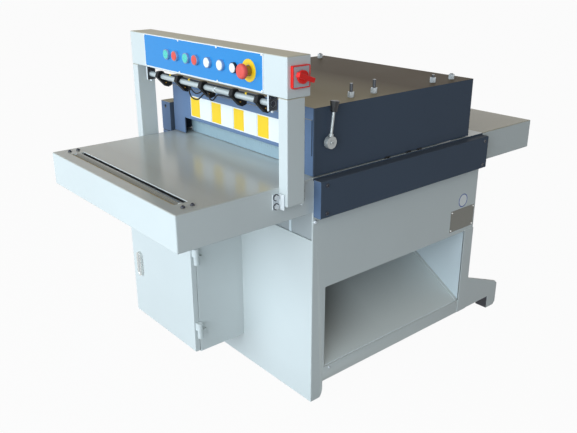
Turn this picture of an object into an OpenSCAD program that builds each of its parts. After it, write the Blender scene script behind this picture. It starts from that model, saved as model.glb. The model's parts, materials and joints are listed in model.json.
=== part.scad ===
// Multi rip saw: infeed table with control gantry, hinged hood, saw arbor, feed drive and base cabinet.
// X points to the right of the operator, Y along the feed, Z up. The origin is on the floor, mid length.

/* [Table] */
// Width of the tables and of the base
table_w = 740; // [720:2:800]
// Height of the working surface above the floor
table_top = 750; // [735:1:800]
// Height of the table aprons
apron_h = 104; // [90:1:120]
// Thickness of the table plates
plate_t = 8; // [6:0.5:10]
// Thickness of the apron sheet
apron_t = 4; // [3:0.5:6]
// Length of the infeed table in front of the base
infeed_l = 449; // [440:1:600]
// Length of the outfeed table behind the base
outfeed_l = 306; // [260:2:500]
// Radius of the idler roller in the infeed table
idler_r = 16; // [12:0.5:17]
// Length of the idler roller's slot across the table
slot_l = 608; // [500:2:620]
// Width of the idler roller's slot along the feed
slot_w = 38; // [37:0.5:44]
// Distance of the slot's middle from the front edge
slot_set = 58; // [50:1:80]

/* [Base] */
// Length of the base along the feed
base_l = 801; // [790:1:900]
// Thickness of the base panels
panel_t = 4; // [3:0.5:5]
// Height of the front panel's top edge
front_panel_top = 558; // [500:2:600]
// Height of the foot pads
pad_h = 5; // [4:0.5:12]
// Gap between the base's lower edges and the floor
skirt_gap = 0.5; // [0.5:0.5:4]
// Radius of the foot pads
pad_r = 16; // [12:1:17]
// Width of the rails and front posts
rail_w = 50; // [49:1:60]
// Height of the rails' top above the floor
rail_top = 57; // [50:1:70]
// Width of the front post beside the chip outlet
outlet_front = 55; // [52:1:80]
// Width of the rear post beside the chip outlet
outlet_rear = 52; // [40:1:80]
// Height of the chip outlet's lower edge
outlet_bottom = 108; // [90:1:120]
// Height of the chip outlet's upper edge
outlet_top = 392; // [360:1:420]
// Length of the rear outriggers
outrigger_l = 205; // [150:1:260]
// Height of an outrigger at the base
outrigger_h = 185; // [150:1:220]
// Height of an outrigger at its rear end
outrigger_end_h = 111; // [80:1:140]
// Length of an outrigger's leg
outrigger_leg = 60; // [50:1:80]
// Thickness of an outrigger's web
outrigger_t = 12; // [8:1:20]

/* [Frame and beams] */
// Clear width between the inner frame plates
frame_gap = 520; // [500:2:530]
// Thickness of the frame plates
frame_t = 10; // [8:0.5:12]
// Height of the frame plates' lower edge
frame_bottom = 440; // [430:1:480]
// Width of the right side beam
beam_w = 30; // [24:1:40]
// Width of the left beam, which carries the hood hinge
hinge_beam_w = 63; // [60:1:80]
// How far the left beam and its front bracket reach ahead of the right beam
hinge_front = 12; // [6:1:16]
// Height of the side beams
beam_h = 112; // [90:1:130]
// Drop of the beams' top below the working surface
beam_drop = 5; // [3:0.5:10]
// Sheet thickness of the beams
beam_t = 3; // [2:0.5:5]

/* [Hood] */
// Width of the hood
hood_w = 734; // [720:1:738]
// How far the hood ends before the rear of the base
hood_end_set = 79; // [70:1:100]
// Height of the hood
hood_h = 194; // [185:1:220]
// Gap between the working surface and the hood
hood_gap = 3; // [2:0.5:5]
// Sheet thickness of the hood
hood_t = 4; // [3:0.5:5]
// Width of the hood's mouth
mouth_w = 596; // [560:2:640]
// Height of the hood's mouth
mouth_h = 59; // [50:1:62]
// Height of the front plate over the mouth
front_plate_h = 102; // [80:1:120]
// Thickness of the front plate
front_plate_t = 3; // [2:0.5:4]
// Length of a hinge bracket along the feed
hinge_l = 70; // [50:1:90]
// Height of the hinge brackets
hinge_h = 105; // [98:1:115]
// Radius of the hinge pins
hinge_pin_r = 6; // [5:0.5:7]

/* [Gantry] */
// Distance of the gantry's front from the front of the base
gantry_set = 124; // [112:1:160]
// Width of a column
column_w = 35; // [30:1:45]
// Depth of a column
column_d = 61; // [50:1:64]
// How far the columns reach down beside the table
column_drop = 49; // [46:1:70]
// Height of the control box's underside
box_bottom = 993; // [975:1:1050]
// Height of the control box
box_h = 107; // [104:1:130]
// Depth of the control box
box_d = 80; // [70:1:84]
// Sheet thickness of the box and wall of the columns
box_t = 3; // [2:0.5:4]
// Width of the control panel
panel_w = 620; // [600:1:700]
// Height of the control panel
panel_h = 102; // [96:1:103]
// Thickness of the control panel
panel_plate_t = 2; // [1.5:0.5:4]
// Radius of the laser rod
rod_r = 8.5; // [7.5:0.5:10]
// Drop of the laser rod's axis below the box
rod_drop = 26; // [25:1:34]

/* [Controls] */
// Radius of a push button cap
button_r = 13.5; // [10:0.5:13.5]
// Radius of a button bezel
bezel_r = 15.5; // [15:0.5:17]
// Height of a button bezel
bezel_h = 8; // [6:0.5:10]
// Height of a cap above its bezel
cap_rise = 1.5; // [1:0.5:4]
// Radius of the emergency stop's mushroom
mushroom_r = 20.5; // [17:0.5:24]
// Reach of the mushroom in front of the panel
mushroom_reach = 32; // [30:1:42]
// Side of the main switch's square plate
switch_side = 58; // [50:1:66]
// Thickness of the main switch's plate
switch_t = 10; // [6:0.5:12]
// Reach of the main switch's knob past its plate
knob_reach = 22; // [16:1:30]

/* [Lever and fingers] */
// Height of the finger shaft above the hood's lower edge
shaft_rise = 94.5; // [84:0.5:98]
// Distance of the finger shaft behind the hood's front
shaft_set = 49; // [46:1:70]
// Radius of the finger shaft
shaft_r = 8; // [6:0.5:9]
// Radius of the lever hub
hub_r = 18; // [16:1:24]
// Length of the lever from the shaft's axis
lever_l = 116; // [100:1:122]
// Length of the lever grip
grip_l = 31; // [28:1:44]
// Width of one anti-kickback finger
finger_w = 9.2; // [7:0.1:9.4]
// Spacing of the fingers
finger_pitch = 10; // [9.5:0.5:15]

/* [Feed rollers] */
// Radius of the driven feed rollers
feed_r = 40; // [30:1:44]
// Radius of the press rollers
press_r = 42; // [34:1:44]
// Height of the press rollers above the working surface
press_gap = 5; // [4:0.5:8]
// Distance between the two studs of a press roller's block
stud_spacing = 97; // [92:1:106]
// Radius of the press roller studs
stud_r = 5; // [4.5:0.5:6]
// Spacing of the front and rear rollers as a share of the hood's length
roller_spacing_share = 0.52; // [0.5:0.005:0.54]

/* [Saw arbor and drive] */
// Radius of the saw blades
blade_r = 108; // [90:1:112]
// Thickness of the saw blades
blade_t = 3.2; // [2.4:0.1:4]
// How far the blades stand above the working surface
cut_h = 44; // [36:1:50]
// Number of saw blades
blade_count = 8; // [2:1:8]
// Spacing of the saw blades
blade_pitch = 60; // [40:1:62]
// Radius of the arbor
arbor_r = 20; // [16:0.5:22]
// Radius of the arbor pulley
arbor_pulley_r = 52; // [48:1:53]
// Ratio of the motor pulley to the arbor pulley
pulley_ratio = 1.5; // [1.2:0.05:1.6]
// Number of drive belts
belt_count = 4; // [2:1:4]
// Width of a drive belt
belt_w = 11; // [9:0.5:11]
// Radius of the motor body
motor_r = 115; // [95:1:116]
// Length of the motor body
motor_l = 260; // [220:2:270]

/* [Electric cabinet] */
// Width of the cabinet
cabinet_w = 400; // [360:2:420]
// Height of the cabinet
cabinet_h = 450; // [400:2:500]
// Depth of the cabinet with its door
cabinet_d = 198; // [180:1:220]
// Height of the cabinet's underside
cabinet_bottom = 94; // [80:1:110]
// Depth of the door pan
door_d = 18; // [14:1:24]

/* [Hidden] */
$fn = 48;
// Overrun of the cuts
over = 1;
// Radial clearance of a running fit and of a drilled passage
run_gap = 0.05;
pass_gap = 1;
// Clearance between faces that pass each other
face_gap = 0.3;

// Places along the feed
y_in = -(infeed_l + base_l + outfeed_l) / 2;
y_out = -y_in;
base_y0 = y_in + infeed_l;
base_y1 = base_y0 + base_l;
base_in0 = base_y0 + panel_t;
base_in1 = base_y1 - panel_t;
side_x = table_w / 2;
side_in = side_x - panel_t;
bed_z = table_top - plate_t;
apron_z = table_top - apron_h;
slot_y = y_in + slot_set;

// Idler roller and its bearing blocks
idler_rise = 1;
idler_end_gap = 4;
idler_x = slot_l / 2 - idler_end_gap;
idler_z = table_top + idler_rise - idler_r;
idler_pin_r = 6;
idler_block_l = 48;
idler_block_h = 26;
idler_block_d = 46;
idler_block_x = idler_x + idler_end_gap;
table_bolt_spacing = 28;
table_bolt_set = 32;

// Base openings, rails and outriggers
outlet_y0 = base_y0 + outlet_front;
outlet_y1 = base_y1 - outlet_rear;
outrigger_y1 = base_y1 + outrigger_l;
outrigger_y0 = outrigger_y1 - outrigger_leg;
outrigger_corner = 12;
post_corner = 12;
rail_y1 = base_y0 + rail_w - post_corner;
motor_plate_t = 8;
motor_plate_side = 20;
vent_w = 12;
vent_l = 220;
vent_pitch = 40;
vent_count = 5;
vent_top_gap = 60;

// Chip chute
chute_t = 3;
chute_top_set = 49;
chute_side_gap = 2;
chute_x0 = -frame_gap / 2 + chute_side_gap;
chute_x1 = side_in;
chute_z1 = outlet_bottom + chute_t;
chute_rise = frame_bottom + chute_top_set - chute_z1;
chute_wall_top = frame_bottom - chute_side_gap;

// Side beams
beam_top = table_top - beam_drop;
beam_z = beam_top - beam_h;
beam_front_set = 3;
beam_rear_set = 5;
beam_y0 = base_y0 + beam_front_set;
beam_y1 = base_y1 - beam_rear_set;
beam_bolt_set = 24;
beam_bolt_drop = 14;

// Hood and its hinge
hood_y0 = base_y0 + beam_front_set;
hood_y1 = base_y1 - hood_end_set;
hood_l = hood_y1 - hood_y0;
hood_z0 = table_top + hood_gap;
hood_z1 = hood_z0 + hood_h;
hood_x = hood_w / 2;
mouth_z = hood_z0 + mouth_h;
lip_d = 20;
front_plate_side = 6;
hinge_side_gap = 8;
hinge_x1 = -hood_x - hinge_side_gap;
hinge_x0 = -side_x - hinge_beam_w;
hinge_top = beam_top + hinge_h;
hinge_pin_cover = 12;
hinge_z = hinge_top - hinge_pin_cover - hinge_pin_r;
hinge_x = hinge_x1 - hinge_pin_r * 5;
ear_t = 12;
ear_r = hinge_pin_r * 3;
ear_gap = 1;
ear_y0 = hood_y0 + hinge_l + ear_gap;
ear_y1 = hood_y1 - hinge_l - ear_gap;
hinge_pin_tail = 6;

// Gantry, box and laser rod
gantry_y0 = base_y0 - gantry_set;
column_y1 = gantry_y0 + column_d;
column_x1 = side_x + column_w;
column_z = table_top - column_drop;
box_top = box_bottom + box_h;
box_y1 = gantry_y0 + box_d;
panel_y = gantry_y0 - panel_plate_t;
panel_lift = 1.5;
panel_z = box_bottom + box_h / 2 + panel_lift;
window_edge = 14;
corner_l = 25;
corner_t = 4;
corner_h = 44;
corner_drop = 10;
corner_bolt_spacing = 26;
rod_y = gantry_y0 + box_d / 4;
rod_z = box_bottom - rod_drop;
hanger_t = 8;
hanger_d = 30;
hanger_set = 54;
hanger_x = side_x - hanger_set;
hanger_low = 18;

// Laser heads, in a row along the rod
laser_x_shares = [-0.7975, -0.4335, -0.0095, 0.4873, 0.8528];
head_w = 16;
clamp_nose = 11;
clamp_wall = 4.5;
clamp_cap = 8;
clamp_front = rod_r + clamp_nose;
clamp_back = rod_r + clamp_wall;
clamp_top = rod_r + clamp_cap;
clamp_edge = 4;
clamp_heel = 10;
arm_back = 20;
arm_root = 12;
arm_down = 33;
arm_tip = 7;
hook_back = 34;
hook_l = 11;
hook_drop = 19;
hook_h = 10;
lamp_r = 3.2;
lamp_l = 3;

// Laser cables: routes in X and Z at the cables' own depth
cable_r = 2.2;
cable_sides = 8;
cable_steps = 3;
cable_loop_set = 21;
cable_tied_set = 3;
cable_loop_y = rod_y + cable_loop_set;
cable_tied_y = rod_y + cable_tied_set;
cable_long = [[-128.7, 938.5], [-124, 938.5], [-120, 928], [-110, 918], [-92, 914], [-72, 917], [-55, 927],
    [-42, 936], [-28, 939.5], [-16, 939.5], [-11.3, 939.5]];
cable_short = [[-128.7, 945.5], [-124, 945.5], [-112, 943.5], [-100, 937], [-84, 933], [-66, 937],
    [-50, 944.5], [-36, 946.5], [-16, 946.5], [-11.3, 946.5]];
cable_tied = [[5.3, 952.5], [9, 952.5], [13.5, 943], [21, 934], [31, 931.5], [41, 936], [50, 944.5],
    [62, 951.5], [80, 954], [100, 954], [122, 954], [138, 954], [145.6, 954]];
wire_gap = 0.1;
wire_end_gap = 0.3;
wire_z = rod_z + rod_r + cable_r + wire_gap;

// Control panel
button_x_shares = [-0.2685, -0.1906, -0.0897, -0.0098, 0.0932, 0.1971, 0.2973];
mushroom_x_share = 0.4015;
mushroom_x = mushroom_x_share * panel_w;
button_tail = 20;
lamp_cap_share = 0.95;
collar_r = 14;
mushroom_t = 16;
mushroom_edge_share = 0.55;
panel_screw_x_shares = [-0.493, -0.1626, 0.1626, 0.493];
panel_screw_z_share = 0.464;
panel_screw_r = 3.5;
panel_screw_h = 2.5;
switch_y = (gantry_y0 + box_y1) / 2;
switch_z = panel_z;
knob_r = 17.5;
knob_disc_t = 8;
knob_bar_l = 56;
knob_bar_w = 13;
knob_tilt = 20;
knob_stem_r = 7;
knob_tail = 16;

// Finger shaft, lever and fingers
shaft_y = hood_y0 + shaft_set;
shaft_z = hood_z0 + shaft_rise;
shaft_end_gap = 1;
hub_t = 14;
hub_gap = 8;
lever_x = hood_x + hub_gap + hub_t / 2;
lever_r = 4;
lever_lean = 7;
boss_r = 6.5;
boss_l = 6;
grip_low_r = 9;
grip_top_r = 13.4;
grip_cover_share = 0.5;
finger_eye_r = 15;
finger_front = 10;
finger_back = 8;
finger_floor = 2;
finger_tip_cut = 12;
finger_side_gap = 45;
finger_count = floor((hood_w - 2 * hood_t - 2 * finger_side_gap) / finger_pitch);

// Feed and press rollers
roller_shift_share = 0.086;
roller_spacing = roller_spacing_share * hood_l;
roller_mid = hood_y0 + hood_l / 2 + roller_shift_share * hood_l;
roller_y = [roller_mid - roller_spacing / 2, roller_mid + roller_spacing / 2];
feed_rise = 0.6;
feed_z = table_top + feed_rise - feed_r;
feed_side_gap = 10;
feed_x = frame_gap / 2 - feed_side_gap;
feed_shaft_r = 15;
feed_slot_gap = 3;
press_z = table_top + press_gap + press_r;
press_side_gap = 59;
press_x = hood_x - hood_t - press_side_gap - face_gap;
press_journal_r = 13;
press_block_gap = 6;
press_block_t = 24;
press_block_l = stud_spacing + press_block_t * 2;
press_block_h = 50;
stud_x = press_x + press_block_gap + press_block_t / 2;
stud_rises = [[41, 41], [25, 19]];
nut_h = 16;
nut_r = 10.5;

// Saw arbor, its bearings and the belt drive
frame_x0 = frame_gap / 2;
frame_x1 = frame_x0 + frame_t;
arbor_y = roller_mid;
arbor_z = table_top + cut_h - blade_r;
bearing_t = 22;
arbor_bearing_r = 40;
feed_bearing_r = 28;
bearing_x1 = frame_x1 + bearing_t;
arbor_end_gap = 1;
blade_x0 = -(blade_count - 1) * blade_pitch / 2;
blade_teeth = 24;
tooth_h = 7;
tooth_share = 0.35;
spacer_r = 36;
end_collar_t = 18;
belt_gap = 3;
belt_h = 8;
pulley_x0 = -frame_x1 - bearing_t - belt_gap;
pulley_x1 = pulley_x0 - belt_count * (belt_w + belt_gap) - belt_gap;
motor_pulley_r = arbor_pulley_r * pulley_ratio;
motor_y = arbor_y;
motor_foot_h = 24;
motor_foot_w = 190;
motor_foot_inset = 24;
motor_z = rail_top + motor_plate_t + motor_foot_h / 2 + motor_r;
motor_shaft_r = 19;
motor_x0 = -frame_x1 + motor_foot_h;
motor_cover_l = 46;
motor_cover_share = 0.9;
terminal_w = 90;
terminal_d = 40;
blade_well_gap = 7;
saw_slot = 2 * (sqrt(pow(blade_r, 2) - pow(bed_z - arbor_z, 2)) + blade_well_gap);

// Feed chain and gear motor
chain_gap = 2;
chain_t = 10;
chain_h = 7;
chain_x0 = bearing_x1 + chain_gap;
chain_x1 = chain_x0 + chain_t;
sprocket_r = 21;
gear_x0 = chain_x1 + chain_gap;
gear_x1 = side_in - chain_gap * 2;
gear_top_gap = 2;
gear_h = 140;
gear_bottom = bed_z - gear_top_gap - gear_h;
gear_l = 100;
feed_motor_r = 40;
feed_motor_end_gap = 6;
feed_motor_gap = 5;

// Electric cabinet
cabinet_t = 2;
door_inset = 3;
door_rim = door_inset + cabinet_t;
cabinet_right = 20;
cabinet_x1 = cabinet_right;
cabinet_x0 = cabinet_x1 - cabinet_w;
cabinet_top = cabinet_bottom + cabinet_h;
door_y0 = base_y0 - cabinet_d;
door_y1 = door_y0 + door_d;
body_y0 = door_y1 + face_gap;
knuckle_r = 9;
knuckle_l = 27;
knuckle_pin_r = 3;
knuckle_gap = 1;
hinge_line_x = cabinet_x1 + knuckle_r + knuckle_gap;
hinge_line_y = door_y1 - knuckle_r / 2;
knuckle_z_shares = [0.19, 0.78];
latch_x_share = 0.148;
latch_z_share = 0.465;
latch_x = cabinet_x0 + latch_x_share * cabinet_w;
latch_z = cabinet_bottom + latch_z_share * cabinet_h;
latch_w = 26;
latch_l = 92;
latch_t = 10;
latch_stem_r = 7;
gear_plate_edge = 16;
gear_plate_t = 3;
gear_plate_gap = 10;
gear_post_r = 5;
device_d = 60;

// Fasteners
bolt_head_r = 6;
bolt_head_share = 0.85;
corner_bolt_r = 8;
bolt_head_h = 4;

paint_grey = [0.86, 0.87, 0.85];
paint_slate = [0.24, 0.29, 0.36];
bare_steel = [0.72, 0.73, 0.74];
dark_steel = [0.35, 0.36, 0.38];
black_plastic = [0.08, 0.08, 0.09];
panel_blue = [0.10, 0.48, 0.85];
signal_red = [0.85, 0.15, 0.12];
signal_green = [0.15, 0.65, 0.40];
signal_white = [0.95, 0.95, 0.95];

// Box between two corners
module block(x0, x1, y0, y1, z0, z1) {
    translate([x0, y0, z0])
        cube([x1 - x0, y1 - y0, z1 - z0]);
}

// Round bars along each axis
module bar_x(x0, x1, y, z, r) {
    translate([x0, y, z])
        rotate([0, 90, 0])
            cylinder(h = x1 - x0, r = r);
}

module bar_y(y0, y1, x, z, r) {
    translate([x, y0, z])
        rotate([-90, 0, 0])
            cylinder(h = y1 - y0, r = r);
}

module bar_z(z0, z1, x, y, r) {
    translate([x, y, z0])
        cylinder(h = z1 - z0, r = r);
}

// Outline in Y and Z, pulled along X
module along_x(x0, x1) {
    translate([x0, 0, 0])
        rotate([90, 0, 90])
            linear_extrude(x1 - x0)
                children();
}

// Outline in X and Z, pulled along Y
module along_y(y0, y1) {
    translate([0, y1, 0])
        rotate([90, 0, 0])
            linear_extrude(y1 - y0)
                children();
}

module both_sides() {
    children();
    mirror([1, 0, 0])
        children();
}

// Base
module base_front_panel() {
    color(paint_grey)
        block(-side_in, side_in, base_y0, base_in0, skirt_gap, front_panel_top);
}

module side_outline() {
    polygon([[base_y0, skirt_gap], [base_y0 + rail_w - post_corner, skirt_gap],
        [base_y0 + rail_w, skirt_gap + post_corner], [base_y0 + rail_w, rail_top], [base_y1, rail_top],
        [base_y1, bed_z], [base_y0, bed_z]]);
}

module base_right_panel() {
    color(paint_grey)
        along_x(side_in, side_x)
            difference() {
                side_outline();
                translate([outlet_y0, outlet_bottom])
                    square([outlet_y1 - outlet_y0, outlet_top - outlet_bottom]);
            }
}

module base_left_panel() {
    color(paint_grey)
        along_x(-side_x, -side_in)
            side_outline();
}

module base_rear_panel() {
    color(paint_grey)
        difference() {
            block(-side_in, side_in, base_in1, base_y1, rail_top, apron_z);
            for (i = [0 : vent_count - 1])
                block(-vent_l / 2, vent_l / 2, base_in1 - over, base_y1 + over,
                    outlet_top - vent_top_gap - i * vent_pitch - vent_w,
                    outlet_top - vent_top_gap - i * vent_pitch);
        }
}

module base_frame() {
    color(paint_grey) {
        block(-side_in, side_in, base_in0, rail_y1, pad_h, rail_top);
        block(motor_x0 - motor_plate_side, motor_x0 + motor_l + motor_plate_side, base_in1 - rail_w,
            base_in1, rail_top - rail_w / 2, rail_top);
        block(motor_x0 - motor_plate_side, motor_x0 + motor_l + motor_plate_side, base_in0, base_in1,
            rail_top, rail_top + motor_plate_t);
        both_sides() {
            along_x(side_x - outrigger_t, side_x)
                polygon([[base_y1, rail_top], [outrigger_y0, rail_top], [outrigger_y0, pad_h],
                    [outrigger_y1 - outrigger_corner, pad_h], [outrigger_y1, pad_h + outrigger_corner],
                    [outrigger_y1, outrigger_end_h - outrigger_corner],
                    [outrigger_y1 - outrigger_corner, outrigger_end_h], [base_y1, outrigger_h]]);
            block(side_x - rail_w, side_x - outrigger_t, outrigger_y0, outrigger_y1 - outrigger_corner,
                pad_h, rail_top);
            block(side_x - rail_w, side_x - outrigger_t, base_y1, outrigger_y1 - outrigger_corner,
                rail_top, rail_top + pad_h);
        }
    }
}

module foot_pads() {
    color(black_plastic)
        both_sides() {
            bar_z(0, pad_h, side_x - rail_w / 2, (base_in0 + rail_y1) / 2, pad_r);
            bar_z(0, pad_h, side_x - rail_w / 2, (outrigger_y0 + outrigger_y1 - outrigger_corner) / 2,
                pad_r);
        }
}

module chip_chute() {
    color(paint_grey) {
        along_y(outlet_y0, outlet_y1)
            polygon([[chute_x1, chute_z1 - chute_t], [chute_x1, chute_z1],
                [chute_x0, chute_z1 + chute_rise], [chute_x0, chute_z1 + chute_rise - chute_t]]);
        for (y = [outlet_y0 - chute_t, outlet_y1])
            along_y(y, y + chute_t)
                polygon([[chute_x1, chute_z1 - chute_t], [chute_x1, chute_wall_top],
                    [-chute_x0, chute_wall_top], [-chute_x0, bed_z], [chute_x0, bed_z],
                    [chute_x0, chute_z1 + chute_rise - chute_t]]);
    }
}

module frame_plates() {
    color(bare_steel)
        both_sides()
            difference() {
                block(frame_x0, frame_x1, base_in0, base_in1, frame_bottom, bed_z);
                bar_x(frame_x0 - over, frame_x1 + over, arbor_y, arbor_z, arbor_r + pass_gap);
                for (y = roller_y)
                    bar_x(frame_x0 - over, frame_x1 + over, y, feed_z, feed_shaft_r + pass_gap);
            }
}

// Tables
module apron_ring(y0, y1) {
    difference() {
        block(-side_x, side_x, y0, y1, apron_z, bed_z);
        block(-side_x + apron_t, side_x - apron_t, y0 + apron_t, y1 - apron_t,
            apron_z - over, bed_z + over);
    }
}

module infeed_table() {
    color(paint_grey) {
        difference() {
            block(-side_x, side_x, y_in, base_y0, bed_z, table_top);
            block(-slot_l / 2, slot_l / 2, slot_y - slot_w / 2, slot_y + slot_w / 2,
                bed_z - over, table_top + over);
        }
        apron_ring(y_in, base_y0);
    }
}

module bed_plate() {
    color(paint_grey)
        difference() {
            block(-side_x, side_x, base_y0, base_y1, bed_z, table_top);
            for (y = roller_y)
                block(-feed_x - feed_slot_gap, feed_x + feed_slot_gap, y - feed_r - feed_slot_gap,
                    y + feed_r + feed_slot_gap, bed_z - over, table_top + over);
            block(-feed_x, feed_x, arbor_y - saw_slot / 2, arbor_y + saw_slot / 2,
                bed_z - over, table_top + over);
        }
}

module outfeed_table() {
    color(paint_grey) {
        block(-side_x, side_x, base_y1, y_out, bed_z, table_top);
        apron_ring(base_y1, y_out);
    }
}

module idler_roller() {
    color(bare_steel) {
        bar_x(-idler_x, idler_x, slot_y, idler_z, idler_r);
        bar_x(-idler_block_x - idler_block_l / 2, idler_block_x + idler_block_l / 2, slot_y, idler_z,
            idler_pin_r);
    }
}

// Side beams and hood
module beam_shell(x0, x1, y0) {
    difference() {
        block(x0, x1, y0, beam_y1, beam_z, beam_top);
        block(x0 - over, x1 - beam_t, y0 + beam_t, beam_y1 - beam_t, beam_z + beam_t, beam_top - beam_t);
    }
}

module side_beams() {
    color(paint_slate) {
        beam_shell(side_x, side_x + beam_w, beam_y0);
        mirror([1, 0, 0])
            beam_shell(side_x, side_x + hinge_beam_w, beam_y0 - hinge_front);
    }
}

module hinge_brackets() {
    color(paint_slate)
        for (y = [[hood_y0 - hinge_front, hood_y0 + hinge_l], [hood_y1 - hinge_l, hood_y1]])
            difference() {
                block(hinge_x0, hinge_x1, y[0], y[1], beam_top, hinge_top);
                bar_y(y[0] - over, y[1] + over, hinge_x, hinge_z, hinge_pin_r);
            }
}

module hinge_pins() {
    color(bare_steel) {
        bar_y(hood_y0 + hinge_pin_tail, ear_y0 + ear_t + hinge_pin_tail, hinge_x, hinge_z, hinge_pin_r);
        bar_y(ear_y1 - ear_t - hinge_pin_tail, hood_y1 - hinge_pin_tail, hinge_x, hinge_z, hinge_pin_r);
    }
}

module hood_ear(y) {
    along_y(y, y + ear_t)
        difference() {
            union() {
                translate([hinge_x, hinge_z])
                    circle(ear_r);
                translate([hinge_x, hinge_z - ear_r])
                    square([-hood_x - hinge_x, ear_r * 2]);
            }
            translate([hinge_x, hinge_z])
                circle(hinge_pin_r + run_gap);
        }
}

module hood() {
    color(paint_slate) {
        difference() {
            block(-hood_x, hood_x, hood_y0, hood_y1, hood_z0, hood_z1);
            block(-hood_x + hood_t, hood_x - hood_t, hood_y0 + hood_t, hood_y1 - hood_t,
                hood_z0 - over, hood_z1 - hood_t);
            block(-mouth_w / 2, mouth_w / 2, hood_y0 - over, hood_y1 + over, hood_z0 - over, mouth_z);
            bar_x(-hood_x - over, hood_x + over, shaft_y, shaft_z, shaft_r + run_gap);
            for (y = roller_y)
                for (x = [-stud_x, stud_x])
                    for (s = [-stud_spacing / 2, stud_spacing / 2])
                        bar_z(hood_z1 - hood_t - over, hood_z1 + over, x, y + s, stud_r + face_gap);
        }
        hood_ear(ear_y0);
        hood_ear(ear_y1 - ear_t);
    }
}

module hood_front_plate() {
    color(paint_slate) {
        block(-hood_x + front_plate_side, hood_x - front_plate_side, hood_y0 - front_plate_t, hood_y0,
            mouth_z, mouth_z + front_plate_h);
        block(-mouth_w / 2, mouth_w / 2, hood_y0 - front_plate_t, hood_y0 + lip_d,
            mouth_z - front_plate_t, mouth_z);
    }
}

// Lever's own frame: its rod runs up from the shaft and leans to the rear
module lever_place() {
    translate([lever_x, shaft_y, shaft_z])
        rotate([-lever_lean, 0, 0])
            children();
}

module finger_lever() {
    color(bare_steel) {
        bar_x(-hood_x - shaft_end_gap, lever_x, shaft_y, shaft_z, shaft_r);
        bar_x(hood_x + hub_gap, hood_x + hub_gap + hub_t, shaft_y, shaft_z, hub_r);
        lever_place() {
            bar_z(hub_r - lever_r, hub_r + boss_l, 0, 0, boss_r);
            bar_z(0, lever_l - grip_l * grip_cover_share, 0, 0, lever_r);
        }
    }
}

module lever_grip() {
    color(black_plastic)
        lever_place()
            translate([0, 0, lever_l - grip_l])
                difference() {
                    cylinder(h = grip_l, r1 = grip_low_r, r2 = grip_top_r);
                    translate([0, 0, -over])
                        cylinder(h = grip_l * (1 - grip_cover_share) + over, r = lever_r + run_gap);
                }
}

module finger_outline() {
    difference() {
        union() {
            translate([shaft_y, shaft_z])
                circle(finger_eye_r);
            polygon([[shaft_y - finger_eye_r, shaft_z], [shaft_y + finger_eye_r, shaft_z],
                [shaft_y + finger_back, table_top + finger_floor + finger_tip_cut],
                [shaft_y - finger_front, table_top + finger_floor]]);
        }
        translate([shaft_y, shaft_z])
            circle(shaft_r + run_gap);
    }
}

module kickback_fingers() {
    color(bare_steel)
        for (i = [0 : finger_count - 1])
            let (x = (i - (finger_count - 1) / 2) * finger_pitch - finger_w / 2)
                along_x(x, x + finger_w)
                    finger_outline();
}

// Press rollers, hung from the hood
module press_carrier(y, rises) {
    color(dark_steel)
        both_sides() {
            difference() {
                block(stud_x - press_block_t / 2, stud_x + press_block_t / 2, y - press_block_l / 2,
                    y + press_block_l / 2, press_z - press_block_h / 2, press_z + press_block_h / 2);
                bar_x(stud_x - press_block_t, stud_x + press_block_t, y, press_z,
                    press_journal_r + run_gap);
            }
            for (i = [0, 1])
                translate([stud_x, y + (i - 0.5) * stud_spacing, 0]) {
                    bar_z(press_z + press_block_h / 2, hood_z1 + rises[i], 0, 0, stud_r);
                    translate([0, 0, hood_z1 + face_gap])
                        cylinder(h = nut_h, r = nut_r, $fn = 6);
                }
        }
}

module press_roller(y) {
    color(dark_steel) {
        bar_x(-press_x, press_x, y, press_z, press_r);
        bar_x(-stud_x - press_block_t / 2, stud_x + press_block_t / 2, y, press_z, press_journal_r);
    }
}

module press_carrier_front() {
    press_carrier(roller_y[0], stud_rises[0]);
}

module press_carrier_rear() {
    press_carrier(roller_y[1], stud_rises[1]);
}

module press_roller_front() {
    press_roller(roller_y[0]);
}

module press_roller_rear() {
    press_roller(roller_y[1]);
}

// Driven feed rollers with their chain wheels
module feed_roller(y, shaft_x1) {
    color(bare_steel) {
        bar_x(-feed_x, feed_x, y, feed_z, feed_r);
        bar_x(-bearing_x1, shaft_x1, y, feed_z, feed_shaft_r);
        bar_x(chain_x0, chain_x1, y, feed_z, sprocket_r);
    }
}

module feed_roller_front() {
    feed_roller(roller_y[0], chain_x1);
}

module feed_roller_rear() {
    feed_roller(roller_y[1], gear_x1);
}

// Saw arbor
module arbor() {
    color(bare_steel) {
        bar_x(pulley_x1, bearing_x1 - arbor_end_gap, arbor_y, arbor_z, arbor_r);
        bar_x(blade_x0 - blade_t / 2 - end_collar_t, blade_x0 - blade_t / 2, arbor_y, arbor_z, spacer_r);
        translate([-blade_x0 + blade_t / 2, arbor_y, arbor_z])
            rotate([0, 90, 0])
                cylinder(h = end_collar_t, r = spacer_r, $fn = 6);
    }
}

function tooth_points() = [
    for (i = [0 : blade_teeth - 1])
        for (step = [[0, blade_r], [tooth_share, blade_r - tooth_h]])
            let (a = 360 * (i + step[0]) / blade_teeth)
                step[1] * [cos(a), sin(a)]
];

module saw_blades() {
    color(bare_steel)
        for (i = [0 : blade_count - 1])
            let (x = blade_x0 + i * blade_pitch)
                translate([0, arbor_y, arbor_z])
                    along_x(x - blade_t / 2, x + blade_t / 2)
                        difference() {
                            polygon(tooth_points());
                            circle(arbor_r + run_gap);
                        }
}

module blade_spacers() {
    color(dark_steel)
        for (i = [0 : blade_count - 2])
            let (x = blade_x0 + i * blade_pitch + blade_t / 2)
                translate([0, arbor_y, arbor_z])
                    along_x(x, x + blade_pitch - blade_t)
                        difference() {
                            circle(spacer_r);
                            circle(arbor_r + run_gap);
                        }
}

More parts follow.
